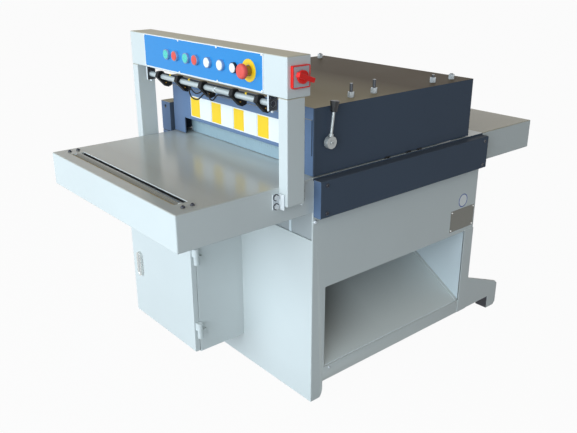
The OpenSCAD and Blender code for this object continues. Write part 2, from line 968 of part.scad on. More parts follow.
// Grooved pulley between two places along X
module pulley(y, z, r, bore) {
    difference() {
        bar_x(pulley_x1, pulley_x0, y, z, r);
        bar_x(pulley_x1 - over, pulley_x0 + over, y, z, bore);
        for (i = [0 : belt_count - 1])
            let (x = pulley_x1 + belt_gap + i * (belt_w + belt_gap))
                difference() {
                    bar_x(x, x + belt_w, y, z, r + over);
                    bar_x(x - over, x + belt_w + over, y, z, r - belt_h);
                }
    }
}

module arbor_pulley() {
    color(dark_steel)
        pulley(arbor_y, arbor_z, arbor_pulley_r, arbor_r + run_gap);
}

module bearing_unit(y, z, r, bore) {
    difference() {
        bar_x(frame_x1, bearing_x1, y, z, r);
        bar_x(frame_x1 - over, bearing_x1 + over, y, z, bore + run_gap);
    }
}

module bearing_units() {
    color(dark_steel)
        both_sides() {
            bearing_unit(arbor_y, arbor_z, arbor_bearing_r, arbor_r);
            for (y = roller_y)
                bearing_unit(y, feed_z, feed_bearing_r, feed_shaft_r);
            difference() {
                block(idler_block_x, idler_block_x + idler_block_l, slot_y - idler_block_d / 2,
                    slot_y + idler_block_d / 2, bed_z - idler_block_h, bed_z);
                bar_x(idler_block_x - over, idler_block_x + idler_block_l + over, slot_y, idler_z,
                    idler_pin_r + run_gap);
            }
        }
}

module main_motor() {
    color(paint_slate) {
        difference() {
            bar_x(motor_x0, motor_x0 + motor_l - motor_cover_l, motor_y, motor_z, motor_r);
            bar_x(motor_x0 - over, motor_x0 + motor_cover_l, motor_y, motor_z, motor_shaft_r + run_gap);
        }
        bar_x(motor_x0 + motor_l - motor_cover_l, motor_x0 + motor_l, motor_y, motor_z,
            motor_r * motor_cover_share);
        block(motor_x0 + motor_foot_inset, motor_x0 + motor_l - motor_cover_l, motor_y - motor_foot_w / 2,
            motor_y + motor_foot_w / 2, rail_top + motor_plate_t, rail_top + motor_plate_t + motor_foot_h);
        block(motor_x0 + motor_foot_inset, motor_x0 + motor_foot_inset + terminal_w,
            motor_y - motor_r - terminal_d, motor_y - motor_r * motor_cover_share / 2, motor_z,
            motor_z + terminal_w);
    }
}

module motor_pulley() {
    color(dark_steel) {
        pulley(motor_y, motor_z, motor_pulley_r, motor_shaft_r / 2);
        bar_x(pulley_x1, motor_x0 + motor_cover_l - face_gap, motor_y, motor_z, motor_shaft_r);
    }
}

// Area inside a belt that runs at a given depth under the pulley rims
module belt_area(depth) {
    r1 = arbor_pulley_r - depth;
    r2 = motor_pulley_r - depth;
    lean = asin((motor_pulley_r - arbor_pulley_r) / (arbor_z - motor_z));
    side = [cos(lean), sin(lean)];
    translate([arbor_y, arbor_z])
        circle(r1);
    translate([motor_y, motor_z])
        circle(r2);
    polygon([[arbor_y + r1 * side[0], arbor_z + r1 * side[1]],
        [arbor_y - r1 * side[0], arbor_z + r1 * side[1]],
        [motor_y - r2 * side[0], motor_z + r2 * side[1]],
        [motor_y + r2 * side[0], motor_z + r2 * side[1]]]);
}

module drive_belts() {
    color(black_plastic)
        for (i = [0 : belt_count - 1])
            let (x = pulley_x1 + belt_gap + i * (belt_w + belt_gap))
                along_x(x + face_gap, x + belt_w - face_gap)
                    difference() {
                        belt_area(face_gap);
                        belt_area(belt_h - face_gap);
                    }
}

// Feed drive
module chain_area(r) {
    for (y = roller_y)
        translate([y, feed_z])
            circle(r);
    translate([roller_y[0], feed_z - r])
        square([roller_y[1] - roller_y[0], r * 2]);
}

module feed_chain() {
    color(dark_steel)
        along_x(chain_x0, chain_x1)
            difference() {
                chain_area(sprocket_r + face_gap + chain_h);
                chain_area(sprocket_r + face_gap);
            }
}

module feed_gearmotor() {
    color(paint_slate) {
        difference() {
            block(gear_x0, gear_x1, roller_y[1] - gear_l / 2, roller_y[1] + gear_l / 2, gear_bottom,
                bed_z - gear_top_gap);
            bar_x(gear_x0 - over, gear_x1 + over, roller_y[1], feed_z, feed_shaft_r + run_gap);
        }
        bar_y(roller_y[1] + gear_l / 2, base_in1 - feed_motor_end_gap,
            frame_x1 + feed_motor_gap + feed_motor_r, gear_bottom + feed_motor_r - feed_motor_gap,
            feed_motor_r);
    }
}

// Gantry
module gantry_columns() {
    color(paint_grey)
        both_sides()
            difference() {
                block(side_x, column_x1, gantry_y0, column_y1, column_z, box_bottom);
                block(side_x + box_t, column_x1 - box_t, gantry_y0 + box_t, column_y1 - box_t,
                    column_z - over, box_bottom + over);
            }
}

module corner_bracket(y, turn) {
    translate([side_x, y, column_z - corner_drop])
        mirror([0, turn, 0]) {
            block(0, corner_t, 0, corner_l, 0, corner_h);
            block(corner_t, corner_l, 0, corner_t, 0, corner_h);
        }
}

module rod_hanger() {
    difference() {
        block(hanger_x, hanger_x + hanger_t, rod_y - hanger_d / 2, rod_y + hanger_d / 2, rod_z - hanger_low,
            box_bottom);
        bar_x(hanger_x - over, hanger_x + hanger_t + over, rod_y, rod_z, rod_r + run_gap);
    }
}

module gantry_brackets() {
    color(bare_steel)
        both_sides() {
            corner_bracket(gantry_y0, 1);
            corner_bracket(column_y1, 0);
            rod_hanger();
        }
}

module control_box() {
    color(paint_grey)
        difference() {
            block(-column_x1, column_x1, gantry_y0, box_y1, box_bottom, box_top);
            block(-column_x1 + box_t, column_x1 - box_t, gantry_y0 + box_t, box_y1 - box_t,
                box_bottom + box_t, box_top - box_t);
            block(-panel_w / 2 + window_edge, panel_w / 2 - window_edge,
                gantry_y0 - over, gantry_y0 + box_t + over,
                panel_z - panel_h / 2 + window_edge, panel_z + panel_h / 2 - window_edge);
            bar_x(column_x1 - box_t - over, column_x1 + over, switch_y, switch_z, knob_stem_r + run_gap);
        }
}

function button_x(i) = button_x_shares[i] * panel_w;

module control_panel() {
    color(panel_blue)
        difference() {
            block(-panel_w / 2, panel_w / 2, panel_y, gantry_y0,
                panel_z - panel_h / 2, panel_z + panel_h / 2);
            for (i = [0 : len(button_x_shares) - 1])
                bar_y(panel_y - over, gantry_y0 + over, button_x(i), panel_z, button_r + run_gap);
            bar_y(panel_y - over, gantry_y0 + over, mushroom_x, panel_z, button_r + run_gap);
        }
}

module panel_screws() {
    color(signal_white)
        for (s = panel_screw_x_shares)
            for (side = [-1, 1])
                bar_y(panel_y - panel_screw_h, panel_y, s * panel_w,
                    panel_z + side * panel_screw_z_share * panel_h, panel_screw_r);
}

module button_bezels() {
    color(bare_steel) {
        for (i = [0 : len(button_x_shares) - 2])
            difference() {
                bar_y(panel_y - bezel_h, panel_y, button_x(i), panel_z, bezel_r);
                bar_y(panel_y - bezel_h - over, panel_y + over, button_x(i), panel_z, button_r + face_gap);
            }
        let (i = len(button_x_shares) - 1) {
            bar_y(panel_y - bezel_h, panel_y, button_x(i), panel_z, bezel_r * lamp_cap_share);
            bar_y(panel_y - bezel_h - cap_rise, panel_y - bezel_h, button_x(i), panel_z,
                button_r * lamp_cap_share);
            bar_y(panel_y, panel_y + button_tail, button_x(i), panel_z, button_r);
        }
    }
}

module push_button(i, paint) {
    color(paint)
        bar_y(panel_y - bezel_h - cap_rise, panel_y + button_tail, button_x(i), panel_z, button_r);
}

module green_button_saw() {
    push_button(0, signal_green);
}

module red_button_saw() {
    push_button(1, signal_red);
}

module green_button_feed() {
    push_button(2, signal_green);
}

module red_button_feed() {
    push_button(3, signal_red);
}

module white_button_left() {
    push_button(4, signal_white);
}

module white_button_right() {
    push_button(5, signal_white);
}

module emergency_stop() {
    cap_y = panel_y - mushroom_reach;
    color(signal_red) {
        bar_y(cap_y + mushroom_t, panel_y + button_tail, mushroom_x, panel_z, button_r);
        bar_y(cap_y + mushroom_t, panel_y - bezel_h, mushroom_x, panel_z, collar_r);
        translate([mushroom_x, cap_y, panel_z])
            rotate([-90, 0, 0])
                rotate_extrude()
                    polygon([[0, 0], [mushroom_r * mushroom_edge_share, 0], [mushroom_r, mushroom_t / 3],
                        [mushroom_r, mushroom_t * 2 / 3], [collar_r, mushroom_t], [0, mushroom_t]]);
    }
}

module switch_plate() {
    color(signal_red)
        difference() {
            block(column_x1, column_x1 + switch_t, switch_y - switch_side / 2, switch_y + switch_side / 2,
                switch_z - switch_side / 2, switch_z + switch_side / 2);
            bar_x(column_x1 - over, column_x1 + switch_t + over, switch_y, switch_z, knob_stem_r + run_gap);
        }
}

module switch_knob() {
    x0 = column_x1 + switch_t + face_gap;
    color(signal_red) {
        bar_x(column_x1 - knob_tail, x0, switch_y, switch_z, knob_stem_r);
        bar_x(x0, x0 + knob_disc_t, switch_y, switch_z, knob_r);
        translate([0, switch_y, switch_z])
            rotate([-knob_tilt, 0, 0])
                block(x0 + knob_disc_t, column_x1 + switch_t + knob_reach, -knob_bar_l / 2, knob_bar_l / 2,
                    -knob_bar_w / 2, knob_bar_w / 2);
    }
}

// Laser lights
module laser_rod() {
    color(bare_steel)
        bar_x(-hanger_x - hanger_t, hanger_x + hanger_t, rod_y, rod_z, rod_r);
}

module laser_head(x) {
    along_x(x - head_w / 2, x + head_w / 2)
        translate([rod_y, rod_z])
            difference() {
                polygon([[-clamp_front, 0], [-clamp_back, clamp_top], [clamp_edge, clamp_top],
                    [clamp_back, clamp_edge], [clamp_back, -clamp_heel], [hook_back - hook_l, -hook_drop],
                    [hook_back, -hook_drop], [hook_back, -hook_drop - hook_h],
                    [arm_back + arm_tip, -arm_down], [arm_root, -arm_down]]);
                circle(rod_r + run_gap);
            }
    bar_z(rod_z - arm_down - lamp_l, rod_z - arm_down, x, rod_y + arm_back + arm_tip / 2, lamp_r);
}

module laser_heads() {
    color(black_plastic)
        for (s = laser_x_shares)
            laser_head(s * hanger_x);
}

// Smooth tube through a route of points in X and Z
function route_point(route, t) =
    let (n = len(route) - 1, i = min(floor(t), n - 1), f = t - i,
        a = route[max(i - 1, 0)], b = route[i], c = route[i + 1], d = route[min(i + 2, n)])
    (2 * b + (c - a) * f + (2 * a - 5 * b + 4 * c - d) * f * f + (3 * b - a - 3 * c + d) * f * f * f) / 2;

function route_ring(route, y, t) =
    let (e = 0.01, n = len(route) - 1,
        p = route_point(route, t),
        g = route_point(route, min(t + e, n)) - route_point(route, max(t - e, 0)),
        u = [-g[1], g[0]] / norm(g))
    [for (k = [0 : cable_sides - 1])
        let (w = 360 * k / cable_sides)
            [p[0] + cable_r * cos(w) * u[0], y + cable_r * sin(w), p[1] + cable_r * cos(w) * u[1]]];

module cable(route, y) {
    rings = (len(route) - 1) * cable_steps;
    points = [for (j = [0 : rings]) each route_ring(route, y, j / cable_steps)];
    sides = [for (j = [0 : rings - 1], k = [0 : cable_sides - 1])
        let (a = j * cable_sides + k, b = j * cable_sides + (k + 1) % cable_sides)
            each [[a, b, b + cable_sides], [a, b + cable_sides, a + cable_sides]]];
    start_cap = [for (k = [1 : cable_sides - 2]) [0, k + 1, k]];
    last = rings * cable_sides;
    end_cap = [for (k = [1 : cable_sides - 2]) [last, last + k, last + k + 1]];
    polyhedron(points, concat(sides, start_cap, end_cap));
}

module laser_cables() {
    color(black_plastic) {
        cable(cable_long, cable_loop_y);
        cable(cable_short, cable_loop_y);
        cable(cable_tied, cable_tied_y);
        for (i = [1 : len(laser_x_shares) - 1])
            bar_x(laser_x_shares[i - 1] * hanger_x + head_w / 2 + wire_end_gap,
                laser_x_shares[i] * hanger_x - head_w / 2 - wire_end_gap, rod_y, wire_z, cable_r);
    }
}

// Electric cabinet
module cabinet_body() {
    color(paint_grey) {
        difference() {
            block(cabinet_x0, cabinet_x1, body_y0, base_y0, cabinet_bottom, cabinet_top);
            block(cabinet_x0 + cabinet_t, cabinet_x1 - cabinet_t, body_y0 - over, base_y0 - cabinet_t,
                cabinet_bottom + cabinet_t, cabinet_top - cabinet_t);
        }
        for (s = knuckle_z_shares)
            let (z = cabinet_bottom + s * cabinet_h) {
                bar_z(z - knuckle_l, z - face_gap, hinge_line_x, hinge_line_y, knuckle_r);
                bar_z(z - knuckle_l, z + knuckle_l, hinge_line_x, hinge_line_y, knuckle_pin_r);
                block(cabinet_x1, hinge_line_x, body_y0, body_y0 + knuckle_r * 2,
                    z - knuckle_l, z - face_gap);
                block(hinge_line_x - knuckle_pin_r, hinge_line_x, hinge_line_y, body_y0 + knuckle_r,
                    z - knuckle_l, z - face_gap);
            }
    }
}

module cabinet_door() {
    color(paint_grey) {
        difference() {
            block(cabinet_x0 + door_inset, cabinet_x1 - door_inset, door_y0, door_y1,
                cabinet_bottom + door_inset, cabinet_top - door_inset);
            block(cabinet_x0 + door_rim, cabinet_x1 - door_rim, door_y0 + cabinet_t, door_y1 + over,
                cabinet_bottom + door_rim, cabinet_top - door_rim);
            bar_y(door_y0 - over, door_y1, latch_x, latch_z, latch_stem_r + run_gap);
        }
        for (s = knuckle_z_shares)
            let (z = cabinet_bottom + s * cabinet_h)
                difference() {
                    union() {
                        bar_z(z, z + knuckle_l, hinge_line_x, hinge_line_y, knuckle_r);
                        block(cabinet_x1 - door_rim, hinge_line_x, hinge_line_y - knuckle_r, hinge_line_y,
                            z, z + knuckle_l);
                    }
                    bar_z(z - over, z + knuckle_l + over, hinge_line_x, hinge_line_y,
                        knuckle_pin_r + run_gap);
                }
    }
}

module door_latch() {
    color(bare_steel) {
        along_y(door_y0 - latch_t, door_y0 - face_gap)
            translate([latch_x, latch_z]) {
                for (side = [-1, 1])
                    translate([0, side * (latch_l - latch_w) / 2])
                        circle(latch_w / 2);
                square([latch_w, latch_l - latch_w], center = true);
            }
        bar_y(door_y0 - face_gap, door_y1 - cabinet_t, latch_x, latch_z, latch_stem_r);
    }
}

module cabinet_gear() {
    plate_y1 = base_y0 - cabinet_t - gear_plate_gap;
    plate_y0 = plate_y1 - gear_plate_t;
    x0 = cabinet_x0 + gear_plate_edge;
    x1 = cabinet_x1 - gear_plate_edge;
    z0 = cabinet_bottom + gear_plate_edge;
    z1 = cabinet_top - gear_plate_edge;
    row = (x1 - x0) / 4;
    color(bare_steel) {
        block(x0, x1, plate_y0, plate_y1, z0, z1);
        for (x = [x0 + gear_plate_edge, x1 - gear_plate_edge])
            for (z = [z0 + gear_plate_edge, z1 - gear_plate_edge])
                bar_y(plate_y1, base_y0 - cabinet_t, x, z, gear_post_r);
        for (i = [0 : 2])
            block(x0 + (i + 1) * row - device_d / 2, x0 + (i + 1) * row + device_d / 2, plate_y0 - device_d,
                plate_y0, (z0 + z1) / 2, (z0 + z1) / 2 + device_d);
        block(x0 + row / 2, x1 - row / 2, plate_y0 - device_d / 2, plate_y0, z0 + gear_plate_edge * 2,
            z0 + gear_plate_edge * 4);
    }
}

// Fasteners
module hex_head(x, y, z, r) {
    translate([x, y, z])
        rotate([0, 90, 0])
            cylinder(h = r * bolt_head_share, r = r, $fn = 6);
}

module hex_bolts() {
    color(bare_steel)
        both_sides() {
            for (y = [gantry_y0 - (corner_l + corner_t) / 2, column_y1 + (corner_l + corner_t) / 2])
                for (z = [-corner_bolt_spacing / 2, corner_bolt_spacing / 2])
                    hex_head(side_x + corner_t, y, column_z - corner_drop + corner_h / 2 + z,
                        corner_bolt_r);
        }
}

module button_bolts() {
    color(black_plastic) {
        both_sides()
            for (s = [-table_bolt_spacing / 2, table_bolt_spacing / 2])
                bar_z(table_top, table_top + bolt_head_h, slot_l / 2 + table_bolt_set, slot_y + s,
                    bolt_head_r);
        for (y = [beam_y0 + beam_bolt_set, beam_y1 - beam_bolt_set])
            for (z = [beam_top - beam_bolt_drop, beam_z + beam_bolt_drop]) {
                bar_x(side_x + beam_w, side_x + beam_w + bolt_head_h, y, z, bolt_head_r);
                bar_x(hinge_x0 - bolt_head_h, hinge_x0, y, z, bolt_head_r);
            }
    }
}

base_front_panel();
base_right_panel();
base_left_panel();
base_rear_panel();
base_frame();
foot_pads();
chip_chute();
frame_plates();
infeed_table();
bed_plate();
outfeed_table();
idler_roller();
side_beams();
hinge_brackets();
hinge_pins();
hood();
hood_front_plate();
finger_lever();
lever_grip();
kickback_fingers();
press_carrier_front();
press_carrier_rear();
press_roller_front();
press_roller_rear();
feed_roller_front();
feed_roller_rear();
arbor();
saw_blades();
blade_spacers();
arbor_pulley();
bearing_units();
main_motor();
motor_pulley();
drive_belts();
feed_chain();
feed_gearmotor();
gantry_columns();
gantry_brackets();
control_box();
control_panel();
panel_screws();
button_bezels();
green_button_saw();
red_button_saw();
green_button_feed();
red_button_feed();
white_button_left();
white_button_right();
emergency_stop();
switch_plate();
switch_knob();
laser_rod();
laser_heads();
laser_cables();
cabinet_body();
cabinet_door();
door_latch();
cabinet_gear();
hex_bolts();
button_bolts();
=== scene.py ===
import json
import math

import bmesh
import bpy
from mathutils import Matrix, Quaternion, Vector


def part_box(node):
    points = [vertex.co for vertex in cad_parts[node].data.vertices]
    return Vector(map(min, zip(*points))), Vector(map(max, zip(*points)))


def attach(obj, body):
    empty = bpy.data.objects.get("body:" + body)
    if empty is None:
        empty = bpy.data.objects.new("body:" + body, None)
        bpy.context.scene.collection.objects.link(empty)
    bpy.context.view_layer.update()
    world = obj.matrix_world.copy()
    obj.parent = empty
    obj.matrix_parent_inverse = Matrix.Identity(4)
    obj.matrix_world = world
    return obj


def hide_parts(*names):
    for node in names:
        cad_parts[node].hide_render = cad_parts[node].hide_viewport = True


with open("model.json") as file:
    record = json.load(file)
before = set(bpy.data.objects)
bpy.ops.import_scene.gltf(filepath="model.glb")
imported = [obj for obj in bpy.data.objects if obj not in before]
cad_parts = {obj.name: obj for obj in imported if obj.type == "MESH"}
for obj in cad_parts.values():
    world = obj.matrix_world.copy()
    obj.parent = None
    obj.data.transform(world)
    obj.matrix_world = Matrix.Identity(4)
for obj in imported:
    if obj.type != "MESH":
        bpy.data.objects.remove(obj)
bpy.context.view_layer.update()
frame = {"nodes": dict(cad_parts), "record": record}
cadNodes = frame["nodes"]
record = frame["record"]
bodyOf = {node: body for body, members in record["behaviour"]["bodies"].items() for node in members}
slotOf = {entry["node"]: entry["material_slot"] for entry in record["subparts"]}
scene = bpy.context.scene
print("frame loaded,", len(cadNodes), "nodes")

# camera, fitted to the photograph's corners
viewPoint = {
    "place": (1.7213, -1.5599, 1.3406),  # metres, in the part's frame
    "azimuth": 49.846,
    "elevation": 21.098,
    "roll": -0.094,
    "lens": 42.685,
    "sensor": 36.0,
    "clip": (0.05, 200),
}


def setCamera(values):
    data = bpy.data.cameras.new("photoCamera")
    data.sensor_fit = "HORIZONTAL"
    data.sensor_width = values["sensor"]
    data.lens = values["lens"]
    data.clip_start, data.clip_end = values["clip"]
    eye = bpy.data.objects.new("photoCamera", data)
    scene.collection.objects.link(eye)
    around, above = math.radians(values["azimuth"]), math.radians(values["elevation"])
    level = math.cos(above)
    back = Vector((math.sin(around) * level, -math.cos(around) * level, math.sin(above)))
    eye.rotation_mode = "QUATERNION"
    roll = Quaternion((0, 0, 1), math.radians(values["roll"]))
    eye.rotation_quaternion = (-back).to_track_quat("-Z", "Y") @ roll
    eye.location = values["place"]
    scene.camera = eye


setCamera(viewPoint)
print("camera set")


# shader maths: a wire is one socket, and sums and products of wires add Math nodes
class Wire:
    def __init__(self, tree, socket=None):
        self.tree = tree
        self.socket = socket

    def add(self, kind, settings=None, links=None, take=0):
        node = self.tree.nodes.new(kind)
        for key, value in (settings or {}).items():
            setattr(node, key, value)
        for key, value in (links or {}).items():
            if isinstance(value, Wire):
                self.tree.links.new(value.socket, node.inputs[key])
            else:
                node.inputs[key].default_value = value
        return Wire(self.tree, node.outputs[take])

    def maths(self, operation, first, second, clamp=False):
        return self.add("ShaderNodeMath", {"operation": operation, "use_clamp": clamp}, {0: first, 1: second})

    def clamped(self):
        return self.maths("MULTIPLY", self, 1.0, True)

    def part(self, axis):
        return self.add("ShaderNodeSeparateXYZ", None, {0: self}, axis)

    def __add__(self, other):
        return self.maths("ADD", self, other)

    def __radd__(self, other):
        return self.maths("ADD", other, self)

    def __sub__(self, other):
        return self.maths("SUBTRACT", self, other)

    def __rsub__(self, other):
        return self.maths("SUBTRACT", other, self)

    def __mul__(self, other):
        return self.maths("MULTIPLY", self, other)

    def __rmul__(self, other):
        return self.maths("MULTIPLY", other, self)


def hue(red, green, blue):
    # 0 to 255 as seen on a screen, to the linear colour that shaders take
    shares = (red / 255, green / 255, blue / 255)
    return (*(c / 12.92 if c <= 0.04045 else ((c + 0.055) / 1.055) ** 2.4 for c in shares), 1.0)


def newLook(name):
    look = bpy.data.materials.new(name)
    look.use_nodes = True
    look.node_tree.nodes.clear()
    return look, Wire(look.node_tree)


def closeLook(look, wire, shader):
    output = look.node_tree.nodes.new("ShaderNodeOutputMaterial")
    wire.tree.links.new(shader.socket, output.inputs["Surface"])
    return look


def blendColour(wire, factor, first, second):
    return wire.add("ShaderNodeMix", {"data_type": "RGBA"}, {0: factor, 6: first, 7: second}, 2)


def shadeOf(colour, gain):
    return (*(min(c * gain, 1.0) for c in colour[:3]), 1.0)


# sprayed enamel: a little cloudy, with orange peel, dust on what faces up and dirt near the floor;
# a band in Y is stained with height, a brown stain with painted shade, or keeps the dust that is wiped off elsewhere,
# where the cleaner paint is painted light
enamelCoat = {"dark": 0.94, "light": 1.05, "peelHeight": 0.001, "roughCloud": 0.12, "roughDust": 0.04, "coatRough": 0.1}


def enamel(name, values):
    look, wire = newLook(name)
    place = wire.add("ShaderNodeTexCoord", take="Object")
    cloud = wire.add("ShaderNodeTexNoise", None, {"Vector": place, "Scale": values["cloud"], "Detail": 5.0})
    peel = wire.add("ShaderNodeTexNoise", None, {"Vector": place, "Scale": values["peel"], "Detail": 2.0})
    height = place.part("Z")
    low = (1 - height * (1 / values["dirtHeight"])).clamped()
    band = ((values["bandFrom"] - place.part("Y")) * (1 / values["bandOver"])).clamped()
    upward = wire.add("ShaderNodeTexCoord", take="Normal").part("Z").clamped()
    paint = values["colour"]
    colour = blendColour(wire, cloud, shadeOf(paint, enamelCoat["dark"]), shadeOf(paint, enamelCoat["light"]))
    colour = blendColour(wire, low * cloud * values["dirt"], colour, values["dirtColour"])
    # painted shade with a sawdust stain: in the band the paint darkens upwards
    deep = ((height - values["stainFrom"]) * (1 / values["stainOver"])).clamped()
    stain = band * deep * values["stain"]
    colour = blendColour(wire, stain, colour, values["stainAndShadeColour"])
    # painted light: outside the band the dust is wiped off, and the cleaner paint stands in for brighter light there
    dust = upward * (band * values["wipeAndLight"] + (1 - values["wipeAndLight"])) * values["dust"]
    dustColour = blendColour(wire, band, values["dustFar"], values["dustColour"])
    colour = blendColour(wire, dust * (1 - stain), colour, dustColour)
    bump = wire.add("ShaderNodeBump", None, {
        "Strength": values["peelDepth"], "Distance": enamelCoat["peelHeight"], "Height": peel})
    shader = wire.add("ShaderNodeBsdfPrincipled", None, {
        "Base Color": colour,
        "Roughness": values["roughness"] + (cloud - 0.5) * enamelCoat["roughCloud"] + upward * enamelCoat["roughDust"],
        "Specular IOR Level": values["gloss"],
        "Coat Weight": (1 - upward) * values["coat"],
        "Coat Roughness": enamelCoat["coatRough"],
        "Normal": bump,
    })
    return closeLook(look, wire, shader)


# cut or ground metal, with fine lines along one axis
metalSkin = {"dark": 0.86, "light": 1.08, "stainScale": 9.0, "lineHeight": 0.0004, "roughLines": 0.18,
             "roughStain": 0.14}


def metal(name, values):
    look, wire = newLook(name)
    place = wire.add("ShaderNodeTexCoord", take="Object")
    stretched = wire.add("ShaderNodeMapping", None, {"Vector": place, "Scale": values["grain"]})
    lines = wire.add("ShaderNodeTexNoise", None, {"Vector": stretched, "Scale": 1.0, "Detail": 3.0})
    stain = wire.add("ShaderNodeTexNoise", None, {"Vector": place, "Scale": metalSkin["stainScale"], "Detail": 6.0})
    base = values["colour"]
    colour = blendColour(wire, stain, shadeOf(base, metalSkin["dark"]), shadeOf(base, metalSkin["light"]))
    bump = wire.add("ShaderNodeBump", None, {
        "Strength": values["depth"], "Distance": metalSkin["lineHeight"], "Height": lines})
    shader = wire.add("ShaderNodeBsdfPrincipled", None, {
        "Base Color": colour,
        "Metallic": values["metallic"],
        "Roughness": values["roughness"] + (lines - 0.5) * metalSkin["roughLines"]
                     + (stain - 0.5) * metalSkin["roughStain"],
        "Normal": bump,
    })
    return closeLook(look, wire, shader)


# moulded plastic or rubber, with a fine grain
mouldSkin = {"dark": 0.95, "light": 1.04, "grainHeight": 0.0004, "roughGrain": 0.1}


def moulded(name, values):
    look, wire = newLook(name)
    place = wire.add("ShaderNodeTexCoord", take="Object")
    grain = wire.add("ShaderNodeTexNoise", None, {"Vector": place, "Scale": values["grain"], "Detail": 2.0})
    base = values["colour"]
    colour = blendColour(wire, grain, shadeOf(base, mouldSkin["dark"]), shadeOf(base, mouldSkin["light"]))
    bump = wire.add("ShaderNodeBump", None, {
        "Strength": values["depth"], "Distance": mouldSkin["grainHeight"], "Height": grain})
    shader = wire.add("ShaderNodeBsdfPrincipled", None, {
        "Base Color": colour,
        "Roughness": values["roughness"] + (grain - 0.5) * mouldSkin["roughGrain"],
        "Specular IOR Level": values["gloss"],
        "Coat Weight": values["coat"],
        "Normal": bump,
    })
    return closeLook(look, wire, shader)


# paints: dustFar is the dust outside the band, all lengths in metres
greyPaint = {
    "colour": hue(210, 215, 214), "cloud": 3.0, "peel": 420.0, "peelDepth": 0.025,
    "roughness": 0.38, "gloss": 0.35, "coat": 0.0,
    "dust": 0.10, "dustColour": hue(188, 184, 172), "dustFar": hue(188, 184, 172),
    "dirt": 0.12, "dirtColour": hue(150, 146, 138), "dirtHeight": 0.10,
    "bandFrom": 0.0, "bandOver": 1.0, "wipeAndLight": 0.0,
    "stain": 0.0, "stainAndShadeColour": hue(80, 70, 56), "stainFrom": 0.0, "stainOver": 1.0,
}
# the slate's up faces run from a light brown at the front to a dark brown at the rear
slatePaint = dict(
    greyPaint, colour=hue(76, 87, 103), cloud=4.0, peel=380.0, peelDepth=0.005, roughness=0.3, gloss=0.006, coat=0.1,
    dust=0.85, dustColour=hue(202, 189, 160), dustFar=hue(102, 86, 62), dirt=0.0, bandFrom=0.12, bandOver=0.42)
# the slate paint again, lighter and bluer for the faces to the front: painted light
frontLitPaint = dict(slatePaint, colour=hue(104, 125, 156), coat=0.2)
beamPaint = dict(slatePaint, dust=0.25, dustColour=hue(84, 82, 78), dustFar=hue(84, 82, 78))
gantryPaint = dict(greyPaint, dust=0.8, dustColour=hue(168, 152, 110), dustFar=hue(168, 152, 110))
# greyer paint for the webs, as painted shade under the table
webShadePaint = dict(greyPaint, colour=hue(172, 177, 178))
chutePaint = dict(greyPaint, colour=hue(222, 232, 236))
# the outlet darkens at its front and upwards: painted shade, with a brown sawdust stain
outletPaint = dict(
    chutePaint, dust=0.35, dustColour=hue(206, 198, 176), dustFar=hue(206, 198, 176), bandFrom=0.03, bandOver=0.18,
    stain=0.9, stainFrom=0.12, stainOver=0.12)
# the table's dust thins towards the fingers, a painted brightening for the light that falls there
tablePaint = dict(
    greyPaint, peelDepth=0.008, roughness=0.16, gloss=0.28, dust=0.78, dustColour=hue(158, 152, 138),
    dustFar=hue(158, 152, 138), bandFrom=-0.36, bandOver=0.26, wipeAndLight=0.85)
outfeedPaint = dict(tablePaint, gloss=0.15, dust=0.9, dustFar=hue(146, 138, 106), wipeAndLight=0.0)

# metals: grain is the noise scale along X, Y and Z
steel = {"colour": hue(196, 198, 199), "metallic": 1.0, "roughness": 0.3, "grain": (6, 420, 420), "depth": 0.05}
rollerSteel = dict(steel, colour=hue(110, 110, 102), metallic=0.7, roughness=0.26, grain=(520, 4, 4), depth=0.02)
darkSteel = dict(steel, colour=hue(84, 86, 90), metallic=0.9, roughness=0.42, grain=(60, 60, 60))
fingerZinc = dict(steel, colour=hue(170, 194, 204), metallic=0.25, roughness=0.42, grain=(420, 420, 8))
tagSteel = dict(steel, colour=hue(118, 117, 110), metallic=0.5, roughness=0.42, grain=(90, 90, 90))
boltZinc = {"colour": hue(206, 211, 214), "metallic": 0.35, "roughness": 0.34, "grain": (90, 90, 90), "depth": 0.02}
leverSteel = dict(boltZinc, colour=hue(184, 187, 186), metallic=0.45)
rodSteel = dict(boltZinc, colour=hue(190, 197, 198), metallic=0.25, grain=(6, 300, 300))
zincPlate = dict(boltZinc, colour=hue(216, 217, 214), metallic=0.85, roughness=0.26, depth=0.03)
bracketSteel = dict(boltZinc, colour=hue(206, 212, 216), metallic=0.15, roughness=0.45, depth=0.03)
# the bezels' blue tint is a painted reflection of the blue panel
bezelWithPanelReflection = dict(boltZinc, colour=hue(168, 186, 212), metallic=0.55, roughness=0.2, grain=(40, 40, 40), depth=0.0)
plastic = {"grain": 260.0, "depth": 0.02, "roughness": 0.3, "gloss": 0.5, "coat": 0.0}

